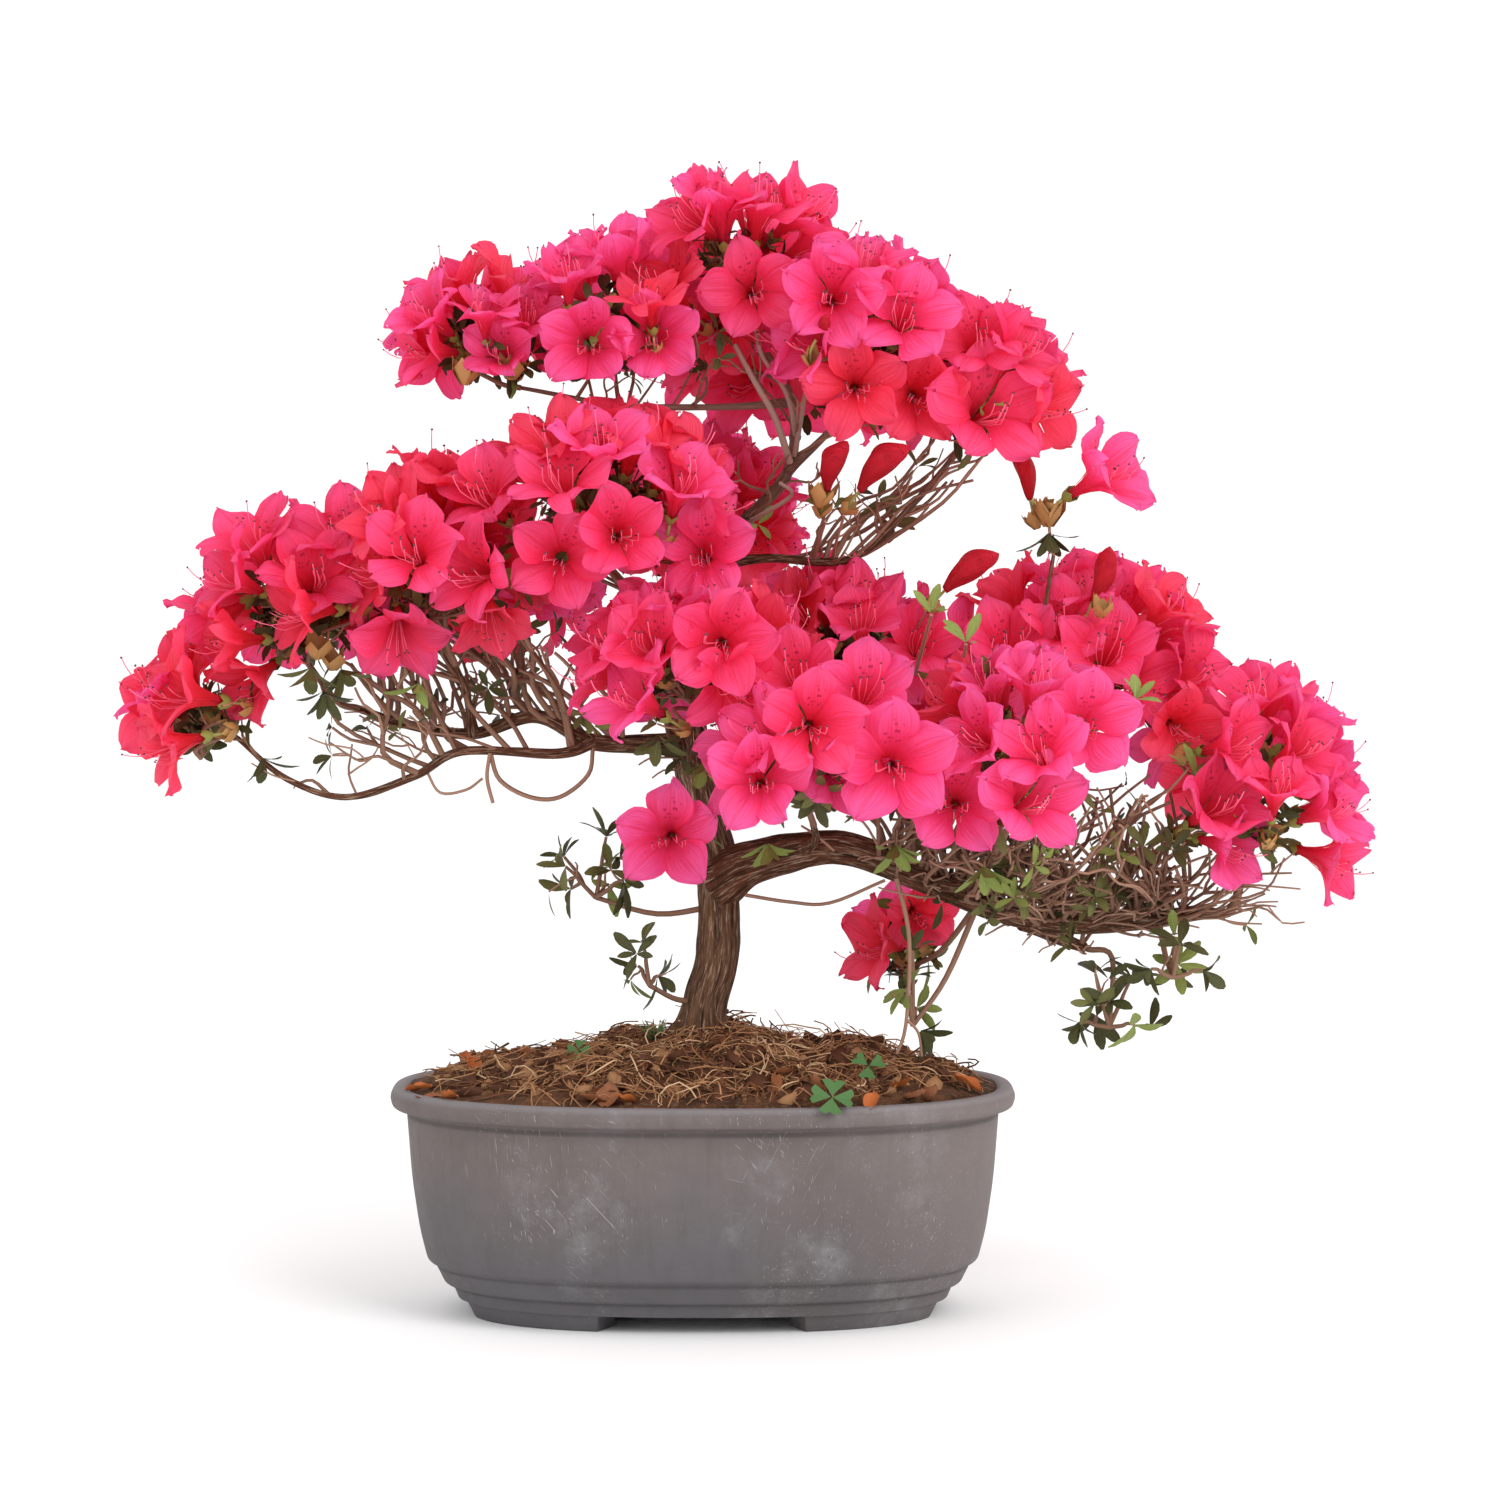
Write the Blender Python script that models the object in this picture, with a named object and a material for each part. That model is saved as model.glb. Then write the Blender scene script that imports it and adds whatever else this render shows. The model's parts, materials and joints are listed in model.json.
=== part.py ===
"""An azalea bonsai in full bloom: a leaning trunk with its boughs, pads of blossom and sprigs of
leaves that grow from the boughs by one seeded rule, and the footed oval pot with its soil.

Every level of the pot is one superellipse, drawn in by that level's inset. A limb is a tapering tube
along a smooth curve. A pad of blossom fills an ellipsoid of space: twigs fan out from its stem
through a few joints, and each ends in a five-lobed funnel flower. Metres, +Z up."""

import math
import random

import bmesh
import bpy
from mathutils import Matrix, Vector
from mathutils.bvhtree import BVHTree

GAP = 0.0003  # left between pieces that touch
CLEARANCE = 1.4 * GAP  # left round pieces that must not meet
MERGE = 4e-6  # points closer than this become one where a Boolean leaves slivers
SHARP_ANGLE = math.radians(35)  # edges sharper than this stay creased

# Pot
POT_WIDTH = 0.270
POT_DEPTH = 0.193
POT_SQUARENESS = 2.4  # exponent of the superellipse: 2 is an ellipse
POT_SEGMENTS = 32
FOOT_HEIGHT = 0.0074
FOOT_GAP_FRONT = 0.0850  # clear width between the feet on a long side
FOOT_GAP_END = 0.0440  # and on a short side
FOOT_INSET_TOP = 0.0295
FOOT_INSET_BOTTOM = 0.0335
FOOT_RIM = 0.0160  # how far a foot reaches in under the base
FLOOR_THICKNESS = 0.0040
DRAIN_RADIUS = 0.0075
DRAIN_OFFSET = 0.0550
DRAIN_SIDES = 10
# (inset from the rim, height) up the outside, over the rolled rim and down the inside
POT_OUTSIDE = (
    (0.0290, 0.0074), (0.0266, 0.0130), (0.0232, 0.0140), (0.0192, 0.0222), (0.0160, 0.0238),
    (0.0128, 0.0360), (0.0094, 0.0590), (0.0072, 0.0884), (0.0010, 0.0900), (0.0, 0.0940), (0.0022, 0.0980),
)
POT_INSIDE = ((0.0062, 0.0982), (0.0092, 0.0966), (0.0110, 0.0860), (0.0150, 0.0420), (0.0240, 0.0164),
              (0.0300, 0.0114))

# Soil
SOIL_EDGE = 0.0930  # height where the mound meets the pot
SOIL_EDGE_INSET = 0.0108  # of that edge from the rim
SOIL_SHELF = 0.0995  # height just inside it
SOIL_TOP = 0.1186  # flat spot under the trunk
SOIL_FLAT = 0.0165  # radius of the flat spot
SOIL_STEPS = (0.92, 0.74, 0.52, 0.32)
SOIL_CROWN = 1.6  # exponent of the mound's fall: 1 is a cone and 2 is a dome
SOIL_LUMPS = 0.0022

# Trunk and limbs
TRUNK_SIDES = 10
BOUGH_SIDES = 6
TWIG_SIDES = 3
STEM_SIDES = 4
SPAN_STEPS = 2  # straight runs between two points of a limb's curve
FLARE_HEIGHT = 0.012
FLARE_WIDTH = 0.0042
TRUNK = ((0.0, 0.0, 0.1189), (0.0012, 0.0, 0.1340), (0.0060, 0.001, 0.1520), (0.0068, 0.002, 0.1750),
         (0.0055, 0.003, 0.1960), (-0.0008, 0.005, 0.2210), (-0.0056, 0.007, 0.2440),
         (-0.0085, 0.009, 0.2640))
TRUNK_RADII = (0.0098, 0.0080)
LEADER = ((-0.0094, 0.010, 0.2740), (-0.0056, 0.013, 0.2985), (0.0052, 0.012, 0.3223),
          (0.0181, 0.010, 0.3404), (0.0367, 0.006, 0.3628), (0.0384, 0.004, 0.3921),
          (0.0235, 0.002, 0.4198), (0.0181, 0.0, 0.4330))
LEADER_RADII = (0.0074, 0.0020)

# Each bough: name, what it springs from, its points, and its radius at foot and tip
BOUGHS = (
    ("bough_right", "trunk", ((0.0062, 0.002, 0.1870), (0.0246, -0.006, 0.1949), (0.0600, -0.012, 0.2010),
                              (0.0979, -0.010, 0.1862), (0.1400, -0.003, 0.1700), (0.1780, 0.003, 0.1674),
                              (0.2160, 0.002, 0.1722)), 0.0086, 0.0034),
    ("bough_right_low", "bough_right", ((0.1330, -0.003, 0.1690), (0.1540, 0.006, 0.1610),
                                        (0.1660, 0.008, 0.1560)), 0.0042, 0.0020),
    ("bough_right_inner", "bough_right", ((0.0460, -0.011, 0.1990), (0.0480, -0.030, 0.2050),
                                          (0.0470, -0.048, 0.2130)), 0.0038, 0.0022),
    ("bough_right_front", "bough_right", ((0.1040, -0.009, 0.1840), (0.1150, -0.028, 0.1860),
                                          (0.1240, -0.046, 0.2020)), 0.0042, 0.0022),
    ("bough_right_top", "bough_right", ((0.1250, -0.006, 0.1760), (0.1450, 0.012, 0.2000),
                                        (0.1560, 0.022, 0.2300)), 0.0042, 0.0022),
    ("shoot_right", "bough_right_top", ((0.1500, 0.017, 0.2150), (0.1380, -0.016, 0.2450),
                                        (0.1440, -0.020, 0.2900), (0.1500, -0.014, 0.3260)), 0.0019, 0.0013),
    ("bough_right_rear", "bough_right", ((0.0800, -0.011, 0.1940), (0.0850, 0.030, 0.1980),
                                         (0.0880, 0.066, 0.2120)), 0.0044, 0.0022),
    ("bough_left", "trunk", ((-0.0056, 0.006, 0.2480), (-0.0224, 0.000, 0.2450), (-0.0475, -0.004, 0.2462),
                             (-0.0720, -0.004, 0.2571), (-0.0990, 0.000, 0.2494), (-0.1273, 0.002, 0.2532),
                             (-0.1480, 0.000, 0.2600)), 0.0048, 0.0024),
    ("bough_left_low", "bough_left", ((-0.0500, -0.004, 0.2466), (-0.0620, -0.013, 0.2415),
                                      (-0.1027, -0.016, 0.2424), (-0.1230, -0.018, 0.2320),
                                      (-0.1523, -0.019, 0.2230), (-0.1780, -0.018, 0.2310),
                                      (-0.1990, -0.014, 0.2480)), 0.0030, 0.0014),
    ("bough_left_mid", "bough_left", ((-0.0940, -0.001, 0.2510), (-0.1010, -0.012, 0.2660),
                                      (-0.1060, -0.018, 0.2810)), 0.0032, 0.0020),
    ("bough_left_rear", "bough_left", ((-0.0640, -0.004, 0.2550), (-0.0800, 0.030, 0.2600),
                                       (-0.0880, 0.062, 0.2720)), 0.0036, 0.0022),
    ("bough_front", "trunk", ((-0.0020, 0.005, 0.2270), (-0.0050, -0.018, 0.2420), (-0.0040, -0.040, 0.2560)),
     0.0036, 0.0022),
    ("bough_middle_left", "leader", ((-0.0085, 0.012, 0.2820), (-0.0220, -0.008, 0.2980),
                                     (-0.0330, -0.024, 0.3120)), 0.0040, 0.0024),
    ("bough_middle_rear", "leader", ((-0.0050, 0.013, 0.2990), (-0.0080, 0.045, 0.3050),
                                     (-0.0100, 0.072, 0.3150)), 0.0038, 0.0022),
    ("bough_upper_right", "leader", ((0.0060, 0.012, 0.3230), (0.0280, 0.002, 0.3250),
                                     (0.0640, -0.004, 0.3250), (0.0900, -0.006, 0.3480),
                                     (0.1080, -0.006, 0.3690)), 0.0036, 0.0020),
    ("bough_upper_mid", "leader", ((0.0370, 0.006, 0.3660), (0.0520, -0.008, 0.3770),
                                   (0.0620, -0.012, 0.3880)), 0.0030, 0.0020),
    ("bough_upper_left", "leader", ((0.0370, 0.004, 0.3960), (0.0080, 0.000, 0.3900),
                                    (-0.0360, 0.000, 0.3910), (-0.0800, -0.002, 0.3985)), 0.0034, 0.0018),
    ("bough_upper_rear", "leader", ((0.0380, 0.006, 0.3800), (0.0400, 0.030, 0.3860),
                                    (0.0400, 0.048, 0.3920)), 0.0030, 0.0020),
)

# Flowers, leaves and twigs
FLOWER_RADIUS = 0.0275
FLOWER_LENGTH = 0.0225
FLOWER_THROAT = 0.0100  # how deep the funnel is hollow, measured from its foot
FLOWER_LOBES = 5
LOBE_NOTCH = 0.70  # radius of the notch between two lobes, as a share of the flower's
LOBE_RISE = 0.92  # height of a lobe's tip, as a share of the flower's length
NOTCH_RISE = 0.86
LEAF_LENGTH = 0.0205
LEAF_WIDTH = 0.0088
LEAF_THICKNESS = 0.0007
LEAF_REACH = 1.12  # how far out a leaf may go, as a share of its pad's half axes
LEAF_PLACES = (0.60, 0.98)  # of the leaves along their twig; a flowering twig has the first alone
LEAF_LEAN = (0.2, 0.7)  # how much a leaf runs along its twig
LEAF_SCATTER = 0.4  # of its turn round the twig
TWIG_RADII = (0.0013, 0.0009)
TWIG_BEND = 0.16  # how far a twig bows back, as a share of its length
TIP_LIFT = 0.25  # how much a tip turns up towards the light
TIP_SCATTER = 0.25
TIP_DEPTH = 0.6  # of a leafy tip under its pad's skin, in leaf lengths
TIP_NEAREST = 0.2  # to the middle of a pad, as a share of the way out
STEM_TAPER = 0.8
STEM_BUTT = 0.0016  # straight stretch of a stem where it meets its bough's tip
STEM_SHARE = 0.95  # of the radius of the tip that carries it
STEM_RISE = 0.35  # of the way to the hub that a stem runs straight on
SIDE_STEM_RADIUS = 0.0018  # at most, of a stem that leaves the side of a limb
SIDE_STEM_SHARE = 0.6  # of the limb's own radius
SIDE_STEM_SAG = 0.10  # as a share of its length
HEART_SHARE = 0.70  # of a flower's width that no other flower of its pad may reach
LEAVES_EVERY = 3  # flowering twigs for each one that carries a leaf
FUNNEL_FACES = 23  # of one flower's skin
LEAF_SUNK = 0.0004
LEAF_TURN = math.radians(137)  # between one leaf and the next round their twig
HUB_DROP = 0.50  # the stem's end lies this share of the pad's half height under its centre
JOINT_REACH = 0.52
LEADERS = 4  # twigs that rise from a pad's hub, and that the others fork from
FORK_STEP = 0.22  # along a leader, from one fork to the next
FORK_LOWEST = 0.3  # share of the leader below which nothing forks
HUB_BACK = 0.15  # how far the hub lies back from the stem's end, as a share of its last stretch
TRIES = 20
LIMB_ROOM = 0.0060
AREA_POWER = 1.6  # exponent of the usual formula for an ellipsoid's surface
AREA_PER_FLOWER = 0.00060  # of the pad's surface
AREA_PER_SPRIG = 0.00150
FEWEST_TIPS = 3

# Each pad or sprig: name, the limb whose tip (or side) carries it, centre, half axes,
# lowest share of its half height that carries growth, and whether it is in blossom
PADS = (
    ("pad_apex", "leader", (0.0170, 0.000, 0.4530), (0.0440, 0.0460, 0.0340), -0.30, True),
    ("pad_upper_left", "bough_upper_left", (-0.0960, -0.002, 0.4220), (0.0390, 0.0400, 0.0350), -0.45, True),
    ("pad_upper_centre", "bough_upper_left", (-0.0380, -0.010, 0.4290), (0.0370, 0.0450, 0.0350), -0.20,
     True),
    ("pad_upper_right", "bough_upper_mid", (0.0680, -0.020, 0.4190), (0.0430, 0.0480, 0.0430), -0.30, True),
    ("pad_upper_far_right", "bough_upper_right", (0.1190, -0.006, 0.3960), (0.0370, 0.0430, 0.0370), -0.50,
     True),
    ("pad_upper_rear", "bough_upper_rear", (0.0350, 0.072, 0.4080), (0.0560, 0.0420, 0.0370), -0.40, True),
    ("pad_far_left", "bough_left_low", (-0.2150, -0.014, 0.2590), (0.0300, 0.0330, 0.0390), -0.90, True),
    ("pad_left", "bough_left", (-0.1700, -0.004, 0.3030), (0.0480, 0.0560, 0.0460), -0.40, True),
    ("pad_left_centre", "bough_left_mid", (-0.1090, -0.032, 0.3240), (0.0400, 0.0560, 0.0470), -0.35, True),
    ("pad_middle", "bough_middle_left", (-0.0420, -0.040, 0.3460), (0.0560, 0.0580, 0.0460), -0.40, True),
    ("pad_middle_rear", "bough_middle_rear", (-0.0120, 0.102, 0.3440), (0.0580, 0.0520, 0.0400), -0.45, True),
    ("pad_left_rear", "bough_left_rear", (-0.0980, 0.084, 0.3050), (0.0540, 0.0520, 0.0410), -0.45, True),
    ("pad_front", "bough_front", (-0.0020, -0.068, 0.2800), (0.0560, 0.0480, 0.0360), -0.55, True),
    ("pad_right_inner", "bough_right_inner", (0.0500, -0.092, 0.2420), (0.0480, 0.0520, 0.0400), -0.55, True),
    ("pad_right_front", "bough_right_front", (0.1290, -0.078, 0.2460), (0.0480, 0.0560, 0.0430), -0.50, True),
    ("pad_right_top", "bough_right_top", (0.1620, 0.016, 0.2790), (0.0600, 0.0520, 0.0470), -0.35, True),
    ("pad_right_core", "trunk", (0.0620, 0.010, 0.2900), (0.0450, 0.0480, 0.0330), -0.40, True),
    ("pad_right_rear", "bough_right_rear", (0.0860, 0.104, 0.2480), (0.0620, 0.0520, 0.0430), -0.50, True),
    ("pad_far_right", "bough_right", (0.2350, -0.002, 0.2300), (0.0490, 0.0560, 0.0500), -0.50, True),
    ("spray_lone_flower", "shoot_right", (0.1600, -0.012, 0.3480), (0.0320, 0.0300, 0.0280), -0.60, True),
    ("spray_low_front", "trunk", (-0.0180, -0.048, 0.2120), (0.0270, 0.0300, 0.0260), -0.80, True),
    ("spray_under_bough", "bough_right", (0.0880, 0.036, 0.1560), (0.0380, 0.0280, 0.0240), -0.90, True),
    ("sprig_trunk_left", "trunk", (-0.0460, -0.006, 0.1920), (0.0280, 0.0260, 0.0260), -0.90, False),
    ("sprig_trunk_low", "trunk", (-0.0230, -0.014, 0.1530), (0.0170, 0.0200, 0.0220), -0.90, False),
    ("sprig_bough_low", "bough_right_low", (0.1760, 0.004, 0.1340), (0.0330, 0.0280, 0.0240), -0.90, False),
    ("sprig_bough_end", "bough_right", (0.2010, -0.022, 0.1560), (0.0300, 0.0240, 0.0200), -0.90, False),
    ("sprig_hanging", "bough_right", (0.0900, -0.020, 0.1400), (0.0140, 0.0150, 0.0300), -0.90, False),
)
SIDE_CARRIED = {"pad_upper_centre", "pad_right_core", "spray_low_front", "spray_under_bough",
                "sprig_trunk_left", "sprig_trunk_low", "sprig_bough_end", "sprig_hanging"}

COLOURS = {
    "pot": ((0.155, 0.135, 0.125), 0.72),
    "soil": ((0.110, 0.058, 0.030), 0.95),
    "bark": ((0.120, 0.075, 0.052), 0.88),
    "blossom": ((0.860, 0.050, 0.180), 0.55),
    "leaf": ((0.075, 0.130, 0.045), 0.60),
}


def clear_scene():
    for obj in list(bpy.data.objects):
        bpy.data.objects.remove(obj, do_unlink=True)


def material(name):
    found = bpy.data.materials.get(name)
    if found:
        return found
    colour, roughness = COLOURS[name]
    made = bpy.data.materials.new(name)
    made.use_nodes = True
    shader = made.node_tree.nodes["Principled BSDF"]
    shader.inputs["Base Color"].default_value = (*colour, 1.0)
    shader.inputs["Roughness"].default_value = roughness
    made.diffuse_color = (*colour, 1.0)
    return made


def mesh_from(name, points, faces):
    """A closed mesh with its faces turned outwards."""
    mesh = bpy.data.meshes.new(name)
    mesh.from_pydata(points, [], faces)
    shape = bmesh.new()
    shape.from_mesh(mesh)
    bmesh.ops.triangulate(shape, faces=[face for face in shape.faces if len(face.verts) == 4])
    bmesh.ops.recalc_face_normals(shape, faces=shape.faces)
    if shape.calc_volume(signed=True) < 0:
        bmesh.ops.reverse_faces(shape, faces=shape.faces)
    shape.to_mesh(mesh)
    shape.free()
    return mesh


def add_object(mesh, name, finish, smooth=False):
    obj = bpy.data.objects.new(name, mesh)
    bpy.context.scene.collection.objects.link(obj)
    mesh.materials.clear()
    mesh.materials.append(material(finish))
    if smooth:
        mesh.shade_smooth()
        mesh.set_sharp_from_angle(angle=SHARP_ANGLE)
    return obj


def boolean(obj, operation, cutter=None, collection=None, solver="EXACT"):
    """Applies one Boolean to obj and removes what it was made with."""
    modifier = obj.modifiers.new(operation, "BOOLEAN")
    modifier.operation = operation
    modifier.solver = solver
    if collection:
        modifier.operand_type = "COLLECTION"
        modifier.collection = collection
    else:
        modifier.object = cutter
    bpy.context.view_layer.update()
    graph = bpy.context.evaluated_depsgraph_get()
    made = bpy.data.meshes.new_from_object(obj.evaluated_get(graph))
    obj.modifiers.clear()
    obj.data = made
    used = list(collection.objects) if collection else [cutter]
    for piece in used:
        bpy.data.objects.remove(piece, do_unlink=True)
    if collection:
        bpy.data.collections.remove(collection)


def shell_volume(shell):
    return sum(face.verts[0].co.dot(face.verts[1].co.cross(face.verts[2].co)) for face in shell)


def keep_largest_shell(mesh, weld=False):
    """Drops loose scraps and fills sealed hollows: only the shell with the most volume stays.
    Slivers are taken out on request, or where the mesh has an open edge. True if the result is closed."""
    shape = bmesh.new()
    shape.from_mesh(mesh)
    bmesh.ops.triangulate(shape, faces=shape.faces)
    if weld or not all(len(edge.link_faces) == 2 for edge in shape.edges):
        bmesh.ops.remove_doubles(shape, verts=shape.verts, dist=MERGE)
        bmesh.ops.dissolve_degenerate(shape, edges=shape.edges, dist=MERGE)
        bmesh.ops.triangulate(shape, faces=shape.faces)
    unseen = set(shape.faces)
    shells = []
    while unseen:
        front = [unseen.pop()]
        shell = set(front)
        while front:
            for edge in front.pop().edges:
                for face in edge.link_faces:
                    if face in unseen:
                        unseen.discard(face)
                        shell.add(face)
                        front.append(face)
        shells.append(shell)
    best = max(shells, key=shell_volume)
    extra = [face for shell in shells if shell is not best for face in shell]
    bmesh.ops.delete(shape, geom=extra, context="FACES")
    loose = [point for point in shape.verts if not point.link_faces]
    bmesh.ops.delete(shape, geom=loose, context="VERTS")
    closed = all(len(edge.link_faces) == 2 for edge in shape.edges)
    shape.to_mesh(mesh)
    shape.free()
    return closed


def pot_ring(inset, height):
    """One level of the pot: a superellipse whose half axes are drawn in by the inset."""
    half_width = POT_WIDTH / 2 - inset
    half_depth = POT_DEPTH / 2 - inset
    power = 2 / POT_SQUARENESS
    ring = []
    for step in range(POT_SEGMENTS):
        turn = 2 * math.pi * step / POT_SEGMENTS
        across, along = math.cos(turn), math.sin(turn)
        ring.append(Vector((math.copysign(abs(across) ** power, across) * half_width,
                            math.copysign(abs(along) ** power, along) * half_depth, height)))
    return ring


def loft(rings, closed=False):
    """Points and faces of a skin over equal rings, with flat ends or closed round on itself."""
    size = len(rings[0])
    points = [point for ring in rings for point in ring]
    spans = len(rings) if closed else len(rings) - 1
    faces = []
    for level in range(spans):
        low, high = level * size, (level + 1) % len(rings) * size
        for step in range(size):
            after = (step + 1) % size
            faces.append((low + step, low + after, high + after, high + step))
    if not closed:
        faces.append(tuple(range(size - 1, -1, -1)))
        faces.append(tuple(range(len(points) - size, len(points))))
    return points, faces


def box_mesh(name, size, centre=(0, 0, 0)):
    shape = bmesh.new()
    bmesh.ops.create_cube(shape, size=1.0)
    bmesh.ops.scale(shape, vec=size, verts=shape.verts)
    bmesh.ops.translate(shape, vec=centre, verts=shape.verts)
    mesh = bpy.data.meshes.new(name)
    shape.to_mesh(mesh)
    shape.free()
    return mesh


def make_pot():
    shell = [pot_ring(inset, height) for inset, height in POT_OUTSIDE + POT_INSIDE]
    pot = add_object(mesh_from("pot", *loft(shell)), "pot", "pot", smooth=True)
    band = [pot_ring(FOOT_INSET_TOP, FOOT_HEIGHT + FLOOR_THICKNESS / 2), pot_ring(FOOT_INSET_BOTTOM, 0.0),
            pot_ring(FOOT_INSET_BOTTOM + FOOT_RIM, 0.0),
            pot_ring(FOOT_INSET_TOP + FOOT_RIM, FOOT_HEIGHT + FLOOR_THICKNESS / 2)]
    feet = add_object(mesh_from("feet", *loft(band, closed=True)), "feet", "pot")
    tall = 4 * FOOT_HEIGHT
    for size in ((FOOT_GAP_FRONT, 2 * POT_DEPTH, tall), (2 * POT_WIDTH, FOOT_GAP_END, tall)):
        boolean(feet, "DIFFERENCE", add_object(box_mesh("gap", size), "gap", "pot"))
    boolean(pot, "UNION", feet)
    for side in (-1, 1):
        drill = bmesh.new()
        bmesh.ops.create_cone(drill, cap_ends=True, segments=DRAIN_SIDES, depth=tall,
                              radius1=DRAIN_RADIUS, radius2=DRAIN_RADIUS)
        bmesh.ops.translate(drill, vec=(side * DRAIN_OFFSET, 0, FOOT_HEIGHT), verts=drill.verts)
        hole = bpy.data.meshes.new("drain")
        drill.to_mesh(hole)
        drill.free()
        boolean(pot, "DIFFERENCE", add_object(hole, "drain", "pot"))
    keep_largest_shell(pot.data, weld=True)
    pot.data.shade_smooth()
    pot.data.set_sharp_from_angle(angle=SHARP_ANGLE)
    return pot


def soil_height(share, turn):
    """The mound at a share of the way out to the pot's wall."""
    rise = SOIL_SHELF + (SOIL_TOP - SOIL_SHELF) * (1 - share ** SOIL_CROWN)
    return rise + SOIL_LUMPS * share * math.sin(3 * turn + 0.7) * math.cos(5 * turn + 7 * share)


def make_soil():
    wall = [pot_ring(inset + CLEARANCE, height + CLEARANCE) for inset, height in reversed(POT_INSIDE[2:])]
    edge_inset = SOIL_EDGE_INSET + CLEARANCE
    rings = wall + [pot_ring(edge_inset, SOIL_EDGE)]
    for share in SOIL_STEPS:
        ring = []
        for step, point in enumerate(pot_ring(edge_inset, 0.0)):
            turn = 2 * math.pi * step / POT_SEGMENTS
            ring.append(Vector((point.x * share, point.y * share, soil_height(share, turn))))
        rings.append(ring)
    flat = []
    for step in range(POT_SEGMENTS):
        turn = 2 * math.pi * step / POT_SEGMENTS
        flat.append(Vector((SOIL_FLAT * math.cos(turn), SOIL_FLAT * math.sin(turn), SOIL_TOP)))
    rings.append(flat)
    return add_object(mesh_from("soil", *loft(rings)), "soil", "soil", smooth=True)


def smooth_path(points, steps=SPAN_STEPS):
    """A Catmull-Rom curve through the points, in equal steps between them."""
    points = [Vector(point) for point in points]
    padded = [2 * points[0] - points[1]] + points + [2 * points[-1] - points[-2]]
    path = []
    for index in range(len(points) - 1):
        before, start, end, after = padded[index:index + 4]
        for step in range(steps):
            t = step / steps
            square = (2 * before - 5 * start + 4 * end - after) * t * t
            cube = (3 * start - before - 3 * end + after) * t ** 3
            path.append(0.5 * (2 * start + (end - before) * t + square + cube))
    return path + [points[-1]]


def tube(path, radii, sides):
    """Points and faces of a round limb along the path, its rings carried along without twisting."""
    rings = []
    side = None
    for index, point in enumerate(path):
        ahead = path[min(index + 1, len(path) - 1)] - path[max(index - 1, 0)]
        ahead.normalize()
        if side is None:
            side = ahead.orthogonal().normalized()
        side = (side - ahead * side.dot(ahead)).normalized()
        other = ahead.cross(side)
        ring = []
        for step in range(sides):
            turn = 2 * math.pi * step / sides
            ring.append(point + (side * math.cos(turn) + other * math.sin(turn)) * radii[index])
        rings.append(ring)
    return loft(rings)


def taper(count, first, last):
    return [first + (last - first) * index / (count - 1) for index in range(count)]


def limb_shape(limb, extra=0.0):
    """The limb's skin, or with extra radius the room that a neighbour must leave it."""
    radii = [radius + extra for radius in limb["radii"]]
    points, faces = tube(limb["path"], radii, limb["sides"])
    if limb["name"] == "trunk":
        foot = limb["path"][0].z
        for point in points:
            share = max(0.0, 1 - (point.z - foot) / FLARE_HEIGHT)
            axis = Vector((limb["path"][0].x, limb["path"][0].y, point.z))
            point += (point - axis).normalized() * FLARE_WIDTH * share * share
        for point in points[:limb["sides"]]:
            point.z = foot - extra
    return points, faces


def nearest_on(limb, point):
    return min(limb["path"], key=lambda spot: (spot - point).length)


def new_limb(name, carrier, path, radii, sides):
    return {"name": name, "carrier": carrier, "path": path, "sides": sides, "radii": taper(len(path), *radii)}


def plan_limbs():
    """Every limb's path and radii, with each bough's foot on the axis of what carries it."""
    trunk_path = smooth_path(TRUNK)
    leader_path = smooth_path(LEADER)
    step_up = (leader_path[0] - trunk_path[-1]).normalized()
    leader_path.insert(0, trunk_path[-1] + step_up * GAP)
    limbs = {"trunk": new_limb("trunk", None, trunk_path, TRUNK_RADII, TRUNK_SIDES),
             "leader": new_limb("leader", "trunk", leader_path, LEADER_RADII, TRUNK_SIDES)}
    for name, carrier, points, *radii in BOUGHS:
        foot = nearest_on(limbs[carrier], Vector(points[0]))
        limbs[name] = new_limb(name, carrier, smooth_path([foot] + list(points[1:])), radii, BOUGH_SIDES)
    return limbs


def make_limb(limb, limbs):
    obj = add_object(mesh_from(limb["name"], *limb_shape(limb)), limb["name"], "bark", smooth=True)
    if limb["carrier"] and limb["name"] != "leader":
        room = mesh_from("room", *limb_shape(limbs[limb["carrier"]], GAP))
        boolean(obj, "DIFFERENCE", add_object(room, "room", "bark"))
        keep_largest_shell(obj.data)
    if limb["name"] == "leader":
        top = limbs["trunk"]["path"][-1]
        ahead = (top - limbs["trunk"]["path"][-2]).normalized()
        for point in obj.data.vertices:
            over = (point.co - top).dot(ahead)
            if over < GAP:
                point.co += ahead * (GAP - over)
    obj.data.shade_smooth()
    obj.data.set_sharp_from_angle(angle=SHARP_ANGLE)
    return obj


def pad_share(point, pad):
    """1 on the skin of the pad's ellipsoid, less inside it."""
    offset = point - pad["centre"]
    return Vector(offset[axis] / pad["half"][axis] for axis in range(3)).length


def plan_pads():
    pads = []
    for index, (name, carrier, centre, half, lowest, blossom) in enumerate(PADS):
        pads.append({"name": name, "carrier": carrier, "centre": Vector(centre), "half": Vector(half),
                     "lowest": lowest, "blossom": blossom, "seed": 100 + index})
    return pads


def limb_room(point, limbs):
    """How far a point is from the skin of the nearest limb."""
    return min((spot - point).length - radius
               for limb in limbs.values() for spot, radius in zip(limb["path"], limb["radii"]))


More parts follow.
